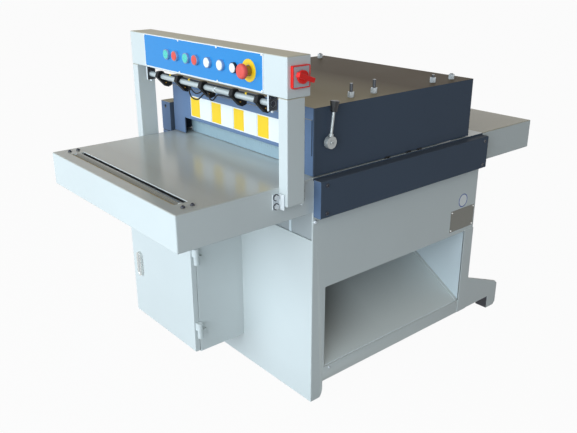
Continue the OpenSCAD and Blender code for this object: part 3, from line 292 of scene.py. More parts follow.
looks = {
    "paint_grey": enamel("greyEnamel", greyPaint),
    "paint_slate": enamel("slateEnamel", slatePaint),
    "slate_front_lit": enamel("frontLitEnamel", frontLitPaint),
    "beam": enamel("beamEnamel", beamPaint),
    "gantry": enamel("gantryEnamel", gantryPaint),
    "chute": enamel("framePlatesLitEnamel", chutePaint),
    "web_shade": enamel("webShadeCoat", webShadePaint),
    "outlet": enamel("outletEnamel", outletPaint),
    "bracket": metal("bracketSteel", bracketSteel),
    "table": enamel("tableEnamel", tablePaint),
    "outfeed": enamel("outfeedEnamel", outfeedPaint),
    "machined_steel": metal("brushedSteel", steel),
    "dark_steel": metal("oiledIron", darkSteel),
    "zinc": metal("zincPlate", zincPlate),
    "bezel": metal("bezelWithPanelReflection", bezelWithPanelReflection),
    "fingers": metal("fingerSteel", fingerZinc),
    "bolt": metal("boltZinc", boltZinc),
    "lever": metal("leverSteel", leverSteel),
    "rod": metal("rodSteel", rodSteel),
    "roller": metal("rollerSteel", rollerSteel),
    "black_rubber": moulded("blackRubber", dict(plastic, colour=hue(26, 26, 28), roughness=0.62, gloss=0.35)),
    "black_plastic": moulded("blackPlastic", dict(plastic, colour=hue(24, 25, 28), roughness=0.34)),
    "laser_black": moulded("laserBlack", dict(plastic, colour=hue(15, 15, 17), roughness=0.5, gloss=0.2)),
    "black_steel": moulded("blackOxide", dict(plastic, colour=hue(34, 36, 48), roughness=0.3)),
    "panel_blue": moulded("panelFilm", dict(plastic, colour=hue(42, 138, 206), roughness=0.14, gloss=0.3)),
    "white_plastic": moulded("whitePlastic", dict(plastic, colour=hue(236, 238, 238), roughness=0.25)),
    "green_plastic": moulded("greenPlastic", dict(plastic, colour=hue(78, 200, 186), roughness=0.28)),
    "red_plastic": moulded("redPlastic", dict(plastic, colour=hue(232, 34, 28), roughness=0.4, gloss=0.3)),
    "coral": moulded("coralPlastic", dict(plastic, colour=hue(224, 88, 79), roughness=0.5, gloss=0.3)),
    "rust": moulded("rustLine", dict(plastic, colour=hue(146, 124, 82), roughness=0.7, gloss=0.1)),
    "amber": moulded("amberPlastic", dict(plastic, colour=hue(172, 126, 34), roughness=0.5)),
    "yellow": moulded("yellowPlastic", dict(plastic, colour=hue(246, 204, 32), roughness=0.4)),
    "silver_face": moulded("silverFace", dict(plastic, colour=hue(176, 178, 182), roughness=0.3)),
    "blue_rim": moulded("blueRim", dict(plastic, colour=hue(70, 96, 168), roughness=0.4)),
    "tag_plate": metal("tagPlate", tagSteel),
}
print("looks made,", len(looks))


# small modelling helpers, all on bmesh operators
near = {"merge": 1e-6, "plane": 2e-4, "solid": 2e-6}  # metres within which things are one


def addBox(shape, low, high):
    low, high = Vector(low), Vector(high)
    place = Matrix.Translation((low + high) / 2) @ Matrix.Diagonal((*(high - low), 1.0))
    return bmesh.ops.create_cube(shape, size=1.0, matrix=place)["verts"]


def addRound(shape, start, end, radius, endRadius=None, sides=40):
    start, end = Vector(start), Vector(end)
    run = end - start
    place = Matrix.Translation((start + end) / 2) @ run.to_track_quat("Z", "Y").to_matrix().to_4x4()
    return bmesh.ops.create_cone(shape, cap_ends=True, segments=sides, radius1=radius,
                                 radius2=radius if endRadius is None else endRadius, depth=run.length,
                                 matrix=place)["verts"]


# turned piece: (radius, height) points spun once round an axis
def turnProfile(shape, profile, origin, axis, sides=48, closed=False):
    part = bmesh.new()
    axis = Vector(axis).normalized()
    side = axis.orthogonal().normalized()
    verts = [part.verts.new(Vector(origin) + side * r + axis * h) for r, h in profile]
    edges = [part.edges.new(pair) for pair in zip(verts, verts[1:])]
    if closed:
        edges.append(part.edges.new((verts[-1], verts[0])))
    bmesh.ops.spin(part, geom=verts + edges, cent=origin, axis=axis, angle=2 * math.pi, steps=sides, use_merge=True)
    bmesh.ops.remove_doubles(part, verts=part.verts, dist=near["merge"])
    bmesh.ops.recalc_face_normals(part, faces=part.faces)
    joinShape(shape, part)


def joinShape(shape, part):
    mesh = bpy.data.meshes.new("joined")
    part.to_mesh(mesh)
    part.free()
    shape.from_mesh(mesh)
    bpy.data.meshes.remove(mesh)


def sharpEdges(shape, angle=35, along=None, at=None, verts=None):
    wanted = set(verts) if verts else None
    limit = math.radians(angle)
    picked = []
    for edge in shape.edges:
        if wanted and not all(v in wanted for v in edge.verts):
            continue
        if len(edge.link_faces) != 2 or edge.calc_face_angle(0.0) < limit:
            continue
        run = (edge.verts[1].co - edge.verts[0].co).normalized()
        middle = (edge.verts[0].co + edge.verts[1].co) / 2
        if along and abs(run["xyz".index(along)]) < 0.99:
            continue
        if at and any(abs(middle["xyz".index(axis)] - value) > near["plane"] for axis, value in at.items()):
            continue
        picked.append(edge)
    return picked


def roundEdges(shape, edges, width, segments=3):
    if edges:
        bmesh.ops.bevel(shape, geom=edges, offset=width, offset_type="OFFSET", segments=segments, profile=0.5,
                        affect="EDGES", clamp_overlap=True, material=-1)


def finishPiece(name, shape, finish, body, replaced=(), smooth=32):
    mesh = bpy.data.meshes.new(name)
    shape.to_mesh(mesh)
    shape.free()
    for look in finish if isinstance(finish, (list, tuple)) else [finish]:
        mesh.materials.append(looks[look])
    mesh.polygons.foreach_set("use_smooth", [True] * len(mesh.polygons))
    mesh.set_sharp_from_angle(angle=math.radians(smooth))
    piece = bpy.data.objects.new(name, mesh)
    scene.collection.objects.link(piece)
    piece.modifiers.new("faceNormals", "WEIGHTED_NORMAL").keep_sharp = True
    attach(piece, body)
    if replaced:
        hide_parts(*replaced)
    return piece


# a copy of a node's solid, merged and with its flat faces whole
def nodeShape(node):
    shape = bmesh.new()
    shape.from_mesh(cadNodes[node].data)
    bmesh.ops.remove_doubles(shape, verts=shape.verts, dist=near["solid"])
    bmesh.ops.dissolve_limit(shape, angle_limit=math.radians(0.5), verts=shape.verts, edges=shape.edges)
    return shape


# boxes of a node's separate solids
def solidBoxes(node):
    shape = nodeShape(node)
    left = set(shape.verts)
    boxes = []
    while left:
        group, wave = set(), [left.pop()]
        while wave:
            vert = wave.pop()
            group.add(vert)
            for edge in vert.link_edges:
                other = edge.other_vert(vert)
                if other in left:
                    left.discard(other)
                    wave.append(other)
        boxes.append((Vector(min(v.co[i] for v in group) for i in range(3)),
                      Vector(max(v.co[i] for v in group) for i in range(3))))
    shape.free()
    return boxes


# a node's own solid with its edges broken: chosen edges, outer edges of its box, then every other sharp rim
def dressNode(node, finish=None, outer=0.0, rounds=(), rim=0.0, spare=(), paint=None):
    shape = nodeShape(node)
    low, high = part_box(node)

    def spared(edge):
        middle = (edge.verts[0].co + edge.verts[1].co) / 2
        return any(abs(middle["xyz".index(axis)] - value) < near["plane"] for axis, value in spare)

    def onBox(edge):
        middle = (edge.verts[0].co + edge.verts[1].co) / 2
        gaps = [min(abs(middle[i] - low[i]), abs(middle[i] - high[i])) for i in range(3)]
        return sum(gap < near["plane"] for gap in gaps) >= 2

    for rule in rounds:
        roundEdges(shape, sharpEdges(shape, along=rule["along"], at=rule["at"]), rule["width"], 5)
    if outer:
        roundEdges(shape, [e for e in sharpEdges(shape, 60) if onBox(e) and not spared(e)], outer)
    if rim:
        roundEdges(shape, [e for e in sharpEdges(shape, 50) if not spared(e)], rim, 2)
    if paint:
        paint(shape)
    return finishPiece(node + "_made", shape, finish or slotOf[node], bodyOf[node], [node])


def paintFaces(shape, index, wanted):
    for face in shape.faces:
        if wanted(face.calc_center_median(), face.normal):
            face.material_index = index


# laser cables: routes in X and Z, each in one plane of Y, in millimetres
cableLook = {
    "radius": 0.0022,
    "steps": 8,  # between two points of a route
    "sides": 3,  # of a quarter round
    "routes": {
        "laserCableLong": (-412, [(-128.7, 938.5), (-124, 938.5), (-120, 928), (-110, 918), (-92, 914), (-72, 917),
                                  (-55, 927), (-42, 936), (-28, 939.5), (-16, 939.5), (-11.3, 939.5)]),
        "laserCableShort": (-412, [(-128.7, 945.5), (-124, 945.5), (-112, 943.5), (-100, 937), (-84, 933), (-66, 937),
                                   (-50, 944.5), (-36, 946.5), (-16, 946.5), (-11.3, 946.5)]),
        "laserCableTied": (-430, [(5.3, 952.5), (9, 952.5), (13.5, 943), (21, 934), (31, 931.5), (41, 936),
                                  (50, 944.5), (62, 951.5), (80, 954), (100, 954), (122, 954), (138, 954),
                                  (145.6, 954)]),
    },
    "rodWires": [(-243.7, -145.3), (-128.7, -11.3), (5.3, 145.7), (162.3, 261.2)],  # X, on top of the rod
    "rodWirePlace": (-433, 977.8),
}


def smoothRoute(route, steps):
    last = len(route) - 1
    line = []
    for i in range(last):
        a, b, c, d = (Vector(route[max(0, min(last, i + k))]) for k in (-1, 0, 1, 2))
        for step in range(steps):
            f = step / steps
            line.append((2 * b + (c - a) * f + (2 * a - 5 * b + 4 * c - d) * f ** 2
                         + (3 * b - a - 3 * c + d) * f ** 3) / 2)
    line.append(Vector(route[last]))
    return line


def makeCables(values):
    depth, height = values["rodWirePlace"]
    wires = {"laserWire%d" % i: (depth, [(a + (b - a) * k / 3, height) for k in range(4)])
             for i, (a, b) in enumerate(values["rodWires"], 1)}
    for name, (depth, route) in {**values["routes"], **wires}.items():
        line = [Vector((p.x, depth, p.y)) / 1000 for p in smoothRoute(route, values["steps"])]
        curve = bpy.data.curves.new(name, "CURVE")
        curve.dimensions = "3D"
        curve.bevel_depth = values["radius"]
        curve.bevel_resolution = values["sides"]
        curve.use_fill_caps = True
        spline = curve.splines.new("POLY")
        spline.points.add(len(line) - 1)
        for point, place in zip(spline.points, line):
            point.co = (*place, 1.0)
        curve.materials.append(looks["black_rubber"])
        cable = bpy.data.objects.new(name, curve)
        scene.collection.objects.link(cable)
        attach(cable, "root")
        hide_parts("laser_cables")
        "taut" if name in wires else "hanging"


makeCables(cableLook)
print("cables made")

# tables and base; edges on the planes where sheets meet stay sharp
baseLook = {
    "sheet": 0.0035, "rim": 0.0008, "thinRim": 0.0006, "castRim": 0.0015, "postRound": 0.016,
    "front": -0.329, "rear": 0.472, "side": 0.370, "inside": 0.366, "panelTop": 0.742,
    "postFoot": (-0.279, 0.0125), "postToe": (-0.291, 0.0005), "bedSide": 0.3695, "notchFrom": 0.5,
}
sheetEnds = [("y", baseLook["front"]), ("y", baseLook["rear"])]
sheetSides = [("x", baseLook["inside"]), ("x", -baseLook["inside"])]


def paintBedSides(shape):
    paintFaces(shape, 1, lambda at, way: abs(way.x) > 0.9 and abs(at.x) > baseLook["bedSide"])


def paintNotchShade(shape):
    # painted shade: black on the rear outrigger's front faces, for the dark hollow of its hook
    paintFaces(shape, 1, lambda at, way: way.y < -0.5 and at.y > baseLook["notchFrom"])


dressNode("infeed_table", "table", outer=baseLook["sheet"], rim=baseLook["rim"], spare=sheetEnds[:1])
dressNode("outfeed_table", "outfeed", outer=baseLook["sheet"], rim=baseLook["rim"], spare=sheetEnds[1:])
dressNode("bed_plate", ["table", "beam"], rim=baseLook["thinRim"], spare=sheetEnds, paint=paintBedSides)
dressNode("base_front_panel", rim=baseLook["rim"], spare=sheetSides)
for node, side in (("base_right_panel", 1), ("base_left_panel", -1)):
    rounds = [{"along": "x", "at": dict(zip("yz", baseLook[corner])), "width": baseLook["postRound"]}
              for corner in ("postFoot", "postToe")]
    rounds += [{"along": "z", "at": {"x": side * baseLook["side"], "y": baseLook[end]}, "width": baseLook["sheet"]}
               for end in ("front", "rear")]
    dressNode(node, rounds=rounds,
              rim=baseLook["rim"], spare=[("x", side * baseLook["inside"]), ("z", baseLook["panelTop"])] + sheetEnds)
dressNode("base_rear_panel", rim=baseLook["rim"], spare=sheetSides)
dressNode("base_frame", ["paint_grey", "black_steel"], rim=baseLook["castRim"], paint=paintNotchShade)
dressNode("chip_chute", "outlet", rim=baseLook["thinRim"])
# painted light: the frame plates take the chute's pale paint, so that their shaded faces and front edge come out bright
dressNode("frame_plates", "chute", rim=baseLook["rim"])
dressNode("foot_pads", rim=baseLook["castRim"])
dressNode("idler_roller", "roller", rim=baseLook["rim"])
dressNode("bearing_units", rim=baseLook["rim"])

# table's slot: a black strip at its back as painted shade, a worn front, a pale strip on its rear rim as painted
# highlight; pale shields at its roller's ends
slotLook = {
    "half": 0.3036,
    "strips": [  # name, look, slot, Y, Z, edge
        # painted shade: a black strip for the shade at the back of the slot
        ("slot_back_shade", "black_rubber", "black_rubber", (-0.7014, -0.7008), (0.7200, 0.7486), 0),
        ("slot_front", "rust", "paint_grey", (-0.7412, -0.7386), (0.7490, 0.7502), 0),
        # painted highlight: a white strip for the light on the slot's rear edge
        ("slot_rim_highlight", "white_plastic", "white_plastic", (-0.7012, -0.6990), (0.7490, 0.7506), 0.0002),
    ],
    "roller": (-0.720, 0.735), "shield": (0.2998, 0.3024), "shieldRadius": 0.0154,
}
for name, finish, slotName, depth, height, edge in slotLook["strips"]:
    shape = bmesh.new()
    addBox(shape, *zip((-slotLook["half"], slotLook["half"]), depth, height))
    if edge:
        roundEdges(shape, sharpEdges(shape), edge, 2)
    finishPiece(name, shape, finish, "root")
shape = bmesh.new()
for side in (1, -1):
    inner, outer = (Vector((side * x, *slotLook["roller"])) for x in slotLook["shield"])
    addRound(shape, inner, outer, slotLook["shieldRadius"])
finishPiece("idler_shields", shape, "white_plastic", bodyOf["idler_roller"])

# sheets: webs between and beside the frame plates, chute floor's seam, rear post over the rail
foldLook = {
    "webs": [(-0.2598, 0.2598), (0.2702, 0.3658), (-0.3658, -0.2702)], "webDepth": (-0.3235, -0.3205),
    "webHeight": (0.4450, 0.7415),
    "seam": ((-0.40, 0.4065, 0), (0, 0.4197, 0.0035)), "seamTop": (0.3650, 0, 0.1112), "seamSlope": 31.2,
    "seamEdge": 0.0003,
    "post": ((0.3699, 0.4200, 0.0575), (0.3722, 0.4712, 0.3950)), "postEdge": 0.0006,
}
shape = bmesh.new()
for across in foldLook["webs"]:
    addBox(shape, *zip(across, foldLook["webDepth"], foldLook["webHeight"]))
# painted shade: the webs take the greyer paint
finishPiece("frame_webs", shape, "web_shade", "root")
shape = bmesh.new()
addBox(shape, *foldLook["seam"])
roundEdges(shape, sharpEdges(shape), foldLook["seamEdge"], 2)
slope = Matrix.Rotation(math.radians(foldLook["seamSlope"]), 3, "Y")
bmesh.ops.rotate(shape, cent=(0, 0, 0), matrix=slope, verts=shape.verts)
bmesh.ops.translate(shape, vec=foldLook["seamTop"], verts=shape.verts)
finishPiece("chute_seam", shape, "paint_grey", "root")
shape = bmesh.new()
addBox(shape, *foldLook["post"])
roundEdges(shape, sharpEdges(shape), foldLook["postEdge"], 2)
finishPiece("rear_post_cover", shape, "paint_grey", "root")
print("tables and base made")

# side beams and hood, with a lighter look on the faces to the front, painted light
hoodLook = {
    "fold": 0.004, "rim": 0.0008, "beamFold": 0.003, "beamSide": 0.370, "bracketEdge": 0.002, "plateEdge": 0.0012,
    "plateRim": 0.0006, "side": 0.367, "front": -0.326, "rear": 0.393, "top": 0.947,
}
hoodFolds = [("z", {"y": hoodLook["front"]}), ("z", {"y": hoodLook["rear"]}), ("y", {"z": hoodLook["top"]})]


def paintLitFronts(shape):
    # painted light: the faces to the front take the lighter slate
    paintFaces(shape, 1, lambda at, way: way.y < -0.9)


dressNode("side_beams", ["beam", "slate_front_lit"], outer=hoodLook["beamFold"], rim=hoodLook["rim"],
          spare=[("x", hoodLook["beamSide"]), ("x", -hoodLook["beamSide"])], paint=paintLitFronts)
dressNode("hinge_brackets", ["paint_slate", "slate_front_lit"], outer=hoodLook["bracketEdge"], rim=hoodLook["rim"],
          paint=paintLitFronts)
dressNode("hinge_pins", "paint_slate", rim=hoodLook["rim"])
dressNode("hood", ["paint_slate", "slate_front_lit"], outer=hoodLook["fold"], rim=hoodLook["rim"], paint=paintLitFronts,
          rounds=[{"along": along, "at": {"x": hoodLook["side"], **at}, "width": hoodLook["fold"]}
                  for along, at in hoodFolds])
dressNode("hood_front_plate", ["paint_slate", "slate_front_lit"], outer=hoodLook["plateEdge"], rim=hoodLook["plateRim"],
          paint=paintLitFronts)

# rubber rests between the bed and the hood's right edge: a pad and an outer lip
restLook = {
    "places": (-0.0205, 0.079, 0.131), "length": 0.021, "pad": (0.340, 0.3695), "padHeight": (0.750, 0.7529),
    "lip": (0.3673, 0.3695), "lipHeight": (0.750, 0.7560), "edge": 0.0006,
}
shape = bmesh.new()
for y in restLook["places"]:
    along = (y - restLook["length"] / 2, y + restLook["length"] / 2)
    addBox(shape, *zip(restLook["pad"], along, restLook["padHeight"]))
    addBox(shape, *zip(restLook["lip"], along, restLook["lipHeight"]))
roundEdges(shape, sharpEdges(shape), restLook["edge"], 2)
finishPiece("hood_rests", shape, "black_rubber", "root")
print("hood made")

# finger lever with a socket screw in its hub, its grip and the fingers
leverLook = {
    "screwAt": (0.389, -0.277, 0.8475),
    "screw": [(0, -0.001), (0.0062, -0.001), (0.0062, 0.0026), (0.0054, 0.0034), (0.0032, 0.0034), (0.0028, 0.0010),
              (0, 0.0010)],  # radius and height, metres
    "rim": 0.0012, "gripRound": 0.004, "fingerRim": 0.0004,
}
dressNode("finger_lever", "lever", rim=leverLook["rim"])
shape = bmesh.new()
turnProfile(shape, leverLook["screw"], leverLook["screwAt"], (1, 0, 0), 32)
finishPiece("lever_screw", shape, "lever", "finger_lever")
dressNode("lever_grip", rim=leverLook["gripRound"])
dressNode("kickback_fingers", "fingers", rim=leverLook["fingerRim"])

# rollers, arbor and drive; the nuts and stud ends over the hood are plated
carrierLook = {"nutLow": 0.9472, "nutHigh": 0.9636, "rim": 0.0012}


def paintStuds(shape):
    low, high = carrierLook["nutLow"], carrierLook["nutHigh"]
    paintFaces(shape, 1, lambda at, way: at.z > low and (at.z < high or way.z > 0.9))


for node in ("press_carrier_front", "press_carrier_rear"):
    dressNode(node, ["dark_steel", "bolt"], rim=carrierLook["rim"], paint=paintStuds)
for node in ("press_roller_front", "press_roller_rear", "feed_roller_front", "feed_roller_rear", "arbor", "saw_blades",
             "blade_spacers", "arbor_pulley", "main_motor", "motor_pulley", "drive_belts", "feed_chain",
             "feed_gearmotor"):
    dressNode(node)
print("rollers and drive made")

# gantry; the rod's hangers are dark on their sides as painted shade, the columns' brackets pale to the front as painted
# highlight
gantryLook = {
    "columnEdge": 0.0025, "boxEdge": 0.003, "sheetRim": 0.0006, "rim": 0.0008, "headRim": 0.0012,
    "hangersFrom": 0.9,  # Z
}


def paintBracketShadeAndHighlight(shape):
    # painted shade: dark steel on the hangers' sides
    paintFaces(shape, 1, lambda at, way: at.z > gantryLook["hangersFrom"] and abs(way.x) > 0.9)
    # painted highlight: white on the brackets' faces to the front
    paintFaces(shape, 2, lambda at, way: at.z < gantryLook["hangersFrom"] and way.y < -0.9)


def paintRodEnds(shape):
    paintFaces(shape, 1, lambda at, way: abs(way.x) > 0.9)


dressNode("gantry_columns", "gantry", outer=gantryLook["columnEdge"], rim=gantryLook["sheetRim"])
dressNode("gantry_brackets", ["bracket", "dark_steel", "white_plastic"], rim=gantryLook["rim"], paint=paintBracketShadeAndHighlight)
dressNode("control_box", "gantry", outer=gantryLook["boxEdge"], rim=gantryLook["sheetRim"])
dressNode("laser_rod", ["rod", "black_steel"], rim=gantryLook["rim"], paint=paintRodEnds)
dressNode("laser_heads", "laser_black", rim=gantryLook["headRim"])

# yellow sleeves on the rod's wires, brass screws in the heads' sides, screws and nuts on the hangers
trimLook = {
    "sleeves": (-0.194, -0.084, 0.206), "sleeveAt": (-0.433, 0.9778), "sleeveRadius": 0.0031, "sleeveLength": 0.007,
    "sleeveEdge": 0.0005,
    "heads": (-0.252, -0.137, -0.003, 0.154, 0.2695), "screwAt": (-0.4225, 0.9465), "screwRadius": 0.0019,
    "screwRun": (0.0070, 0.0092),  # from the middle of a head
    "hangers": (-0.320, 0.320), "hangerFace": 0.004, "hangerScrews": ((-0.4265, 0.984), (-0.4405, 0.984)),
    "hangerScrew": [(0, 0), (0.0042, 0), (0.0042, 0.0022), (0.003, 0.0036), (0, 0.0038)],
    "hangerFoot": (-0.433, 0.949),
    "hangerNut": [(0, 0), (0.0056, 0), (0.0056, 0.0012), (0.0044, 0.0012), (0.0044, 0.0052), (0, 0.0052)],
}
shape = bmesh.new()
half = trimLook["sleeveLength"] / 2
for x in trimLook["sleeves"]:
    left, right = ((x + step, *trimLook["sleeveAt"]) for step in (-half, half))
    addRound(shape, left, right, trimLook["sleeveRadius"], sides=20)
roundEdges(shape, sharpEdges(shape, 60), trimLook["sleeveEdge"], 2)
finishPiece("wire_sleeves", shape, "yellow", "root")
shape = bmesh.new()
for x in trimLook["heads"]:
    left, right = ((x + step, *trimLook["screwAt"]) for step in trimLook["screwRun"])
    addRound(shape, left, right, trimLook["screwRadius"], sides=16)
finishPiece("head_screws", shape, "amber", "root")
shape = bmesh.new()
for x in trimLook["hangers"]:
    for place in trimLook["hangerScrews"]:
        turnProfile(shape, trimLook["hangerScrew"], (x + trimLook["hangerFace"], *place), (1, 0, 0), 20)
finishPiece("hanger_screws", shape, "black_steel", "root")
shape = bmesh.new()
for x in trimLook["hangers"]:
    turnProfile(shape, trimLook["hangerNut"], (x, *trimLook["hangerFoot"]), (0, 0, -1), 20)
finishPiece("hanger_nuts", shape, "bolt", "root")

# tie round the laser rod, with its lock on the front
tieLook = {
    "middle": (0.0620, -0.4330, 0.9670), "inner": 0.0086, "outer": 0.009718, "width": 0.0042,
    "lock": 0.0052, "lockDepth": (-0.0130, -0.0092), "edge": 0.0004,
}
shape = bmesh.new()
half, inner, outer = tieLook["width"] / 2, tieLook["inner"], tieLook["outer"]
turnProfile(shape, [(inner, -half), (outer, -half), (outer, half), (inner, half)], tieLook["middle"], (1, 0, 0), 40,
            True)
half = tieLook["lock"] / 2
addBox(shape, *(Vector(tieLook["middle"]) + Vector((side * half, depth, side * half))
                for side, depth in zip((-1, 1), tieLook["lockDepth"])))
roundEdges(shape, sharpEdges(shape, 60), tieLook["edge"], 2)
finishPiece("cable_tie", shape, "white_plastic", "root")
print("gantry made")

# control panel: azure film with a white border, screws, bezels and caps
panelLook = {
    "border": 0.0024, "lampFrom": 0.165, "lampAt": (0.1843, 1.048), "lampRadius": 0.0130, "lampFace": -0.4632,
    "rim": 0.0005, "screwRim": 0.0012, "bezelRim": 0.0012, "capRim": 0.0014,
}


def framePanel(shape):
    low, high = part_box("control_panel")
    edges = {axis: (low[axis] + panelLook["border"], high[axis] - panelLook["border"]) for axis in (0, 2)}
    for axis, places in edges.items():
        for place in places:
            spot, way = Vector(), Vector()
            spot[axis], way[axis] = place, 1.0
            bmesh.ops.bisect_plane(shape, geom=shape.verts[:] + shape.edges[:] + shape.faces[:], plane_co=spot,
                                   plane_no=way, dist=near["merge"])
    paintFaces(shape, 1, lambda at, way: way.y < -0.9 and all(
        first < at[axis] < last for axis, (first, last) in edges.items()))


# the pilot lamp's bezel is black, with a white lens
def paintLamp(shape):
    x, z = panelLook["lampAt"]
    paintFaces(shape, 1, lambda at, way: at.x > panelLook["lampFrom"])
    paintFaces(shape, 2, lambda at, way: at.x > panelLook["lampFrom"] and at.y < panelLook["lampFace"]
               and math.hypot(at.x - x, at.z - z) < panelLook["lampRadius"])


dressNode("control_panel", ["white_plastic", "panel_blue"], rim=panelLook["rim"], paint=framePanel)
dressNode("panel_screws", rim=panelLook["screwRim"])
dressNode("button_bezels", ["bezel", "black_plastic", "white_plastic"], rim=panelLook["bezelRim"], paint=paintLamp)
for node in ("green_button_saw", "green_button_feed", "red_button_saw", "red_button_feed", "white_button_left",
             "white_button_right"):
    dressNode(node, "coral" if "red" in node else None, rim=panelLook["capRim"])

# emergency stop and its ring, turned from radius and height over the panel; the amber on its collar is painted
# reflection of the ring
stopLook = {
    "middle": (0.24893, -0.455, 1.048),
    "head": [(0, -0.020), (0.0135, -0.020), (0.0135, 0.0155), (0.0165, 0.0163), (0.0198, 0.0184), (0.0205, 0.0204),
             (0.0205, 0.0244), (0.0199, 0.0272), (0.0180, 0.0297), (0.0152, 0.0311), (0.0138, 0.0312), (0.0128, 0.0306),
             (0.0112, 0.0306), (0.0050, 0.0316), (0, 0.0318)],
    "reflectionCollar": 0.0156,
    "ring": [(0.0150, -0.0002), (0.0305, -0.0002), (0.0305, 0.0010), (0.0300, 0.0014), (0.0150, 0.0014)],
}
shape = bmesh.new()
turnProfile(shape, stopLook["head"], stopLook["middle"], (0, -1, 0), 64)
# painted reflection: the collar is amber for the yellow ring reflected in it
paintFaces(shape, 1, lambda at, way: stopLook["middle"][1] - at.y < stopLook["reflectionCollar"])
finishPiece("emergency_stop_made", shape, ["coral", "amber"], "emergency_stop", ["emergency_stop"])
shape = bmesh.new()
turnProfile(shape, stopLook["ring"], stopLook["middle"], (0, -1, 0), 64, True)
finishPiece("stop_ring", shape, "yellow", "root")

# main switch: red frame, sunk grey face, red knob
switchLook = {"frame": 0.003, "sunk": 0.0009, "corner": 0.004, "faceFrom": 0.4145, "knobRim": 0.0016}


def sinkFace(shape):
    front = [f for f in shape.faces if f.normal.x > 0.99 and f.calc_center_median().x > switchLook["faceFrom"]]
    bmesh.ops.inset_region(shape, faces=front, thickness=switchLook["frame"], depth=-switchLook["sunk"],
                           use_even_offset=True, use_boundary=True)
    for face in front:
        face.material_index = 1


dressNode("switch_plate", ["red_plastic", "silver_face"], rounds=[
    {"along": "x", "at": {}, "width": switchLook["corner"]}], paint=sinkFace)
dressNode("switch_knob", rim=switchLook["knobRim"])
print("controls made")

# electric cabinet
cabinetLook = {"bodyEdge": 0.002, "doorEdge": 0.003, "sheetRim": 0.0005, "gearRim": 0.0008}
latchLook = {"edge": 0.0042, "wall": 0.001, "sunk": 0.0022, "rim": 0.0012}


def sinkLatch(shape):
    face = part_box("door_latch")[0][1] + near["plane"] / 2
    front = [f for f in shape.faces if f.normal.y < -0.99 and f.calc_center_median().y < face]
    bmesh.ops.inset_region(shape, faces=front, thickness=latchLook["edge"], depth=0.0, use_even_offset=True)
    bmesh.ops.inset_region(shape, faces=front, thickness=latchLook["wall"], depth=-latchLook["sunk"],
                           use_even_offset=True)
    for face in front:
        face.material_index = 1


dressNode("cabinet_body", outer=cabinetLook["bodyEdge"], rim=cabinetLook["sheetRim"])
dressNode("cabinet_door", outer=cabinetLook["doorEdge"], rim=cabinetLook["sheetRim"])
dressNode("door_latch", ["zinc", "lever"], rim=latchLook["rim"], paint=sinkLatch)
dressNode("cabinet_gear", rim=cabinetLook["gearRim"])
print("cabinet made")

# fasteners, each on the place of its solid
boltLook = {
    "button": [(0, 0), (1.0, 0), (1.0, 0.22), (0.94, 0.52), (0.76, 0.82), (0.48, 1.0), (0.42, 0.98), (0.38, 0.5),
               (0, 0.5)],  # shares of the radius and the height
    "sides": 24,
    "washer": 1.22,
    "washerThick": 0.28,
    "hexEdge": 0.14,
    "tableRise": 1.45,
    "tableFrom": 0.745,  # Z over which a bolt is the table's
    "rearBracket": (-0.40, -0.34),  # Y of the brackets' rear bolts
    "panelBolts": [((0.3698, -0.3195, 0.6165), 0.0072, 0.0062), ((0.3698, -0.2507, 0.0980), 0.0040, 0.0030)],
}


def turnButton(shape, foot, way, radius, rise):
    turnProfile(shape, [(r * radius, h * rise) for r, h in boltLook["button"]], foot, way, boltLook["sides"])


def makeButtons(name, boxes, finish, rise=1.0):
    shape = bmesh.new()
    for low, high in boxes:
        size, middle = high - low, (low + high) / 2
        axis = min(range(3), key=lambda i: size[i])
        way = Vector()
        way[axis] = 1.0 if axis == 2 else math.copysign(1.0, middle[axis])
        foot = middle - way * size[axis] / 2
        radius = max(size) / 2
        turnButton(shape, foot, way, radius, size[axis] * rise)
    finishPiece(name, shape, finish, "root", ["button_bolts"])


# hexagon heads, each on a washer
def makeHexes(name, boxes, finish):
    shape = bmesh.new()
    for low, high in boxes:
        size, middle = high - low, (low + high) / 2
        way = Vector((math.copysign(1.0, middle.x), 0, 0))
        foot, radius = middle - way * size.x / 2, max(size.y, size.z) / 2
        rim = foot + way * size.x * boltLook["washerThick"]
        washer = addRound(shape, foot, rim, radius * boltLook["washer"], sides=32)
        for face in {f for v in washer for f in v.link_faces}:
            face.material_index = 1
        head = addRound(shape, rim, middle + way * size.x / 2, radius, sides=6)
        top = [e for e in sharpEdges(shape, verts=head) if all((v.co - middle).dot(way) > 0 for v in e.verts)]
        roundEdges(shape, top, radius * boltLook["hexEdge"], 2)
    finishPiece(name, shape, finish, "root", ["hex_bolts"])


buttons = solidBoxes("button_bolts")
onBeams = [b for b in buttons if b[0].z < boltLook["tableFrom"]]
makeButtons("table_bolts", [b for b in buttons if b[0].z > boltLook["tableFrom"]], "black_steel", boltLook["tableRise"])
makeButtons("beam_bolts_front", [b for b in onBeams if b[0].y < 0], "black_steel")
# the rear beam bolts are black like the front ones; their paler steel is painted light
makeButtons("beam_bolts_rear", [b for b in onBeams if b[0].y > 0], "dark_steel")
hexes = solidBoxes("hex_bolts")
first, last = boltLook["rearBracket"]
makeHexes("bracket_bolts_rear", [b for b in hexes if first < b[0].y < last], ["black_steel"] * 2)
# painted shade: the front bolts' washers are black for the dark shading round the heads
makeHexes("bracket_bolts_front", [b for b in hexes if not first < b[0].y < last], ["bolt", "black_steel"])
shape = bmesh.new()
for place, radius, rise in boltLook["panelBolts"]:
    turnButton(shape, place, (1, 0, 0), radius, rise)
finishPiece("panel_bolts", shape, "bolt", "root")
print("fasteners made")

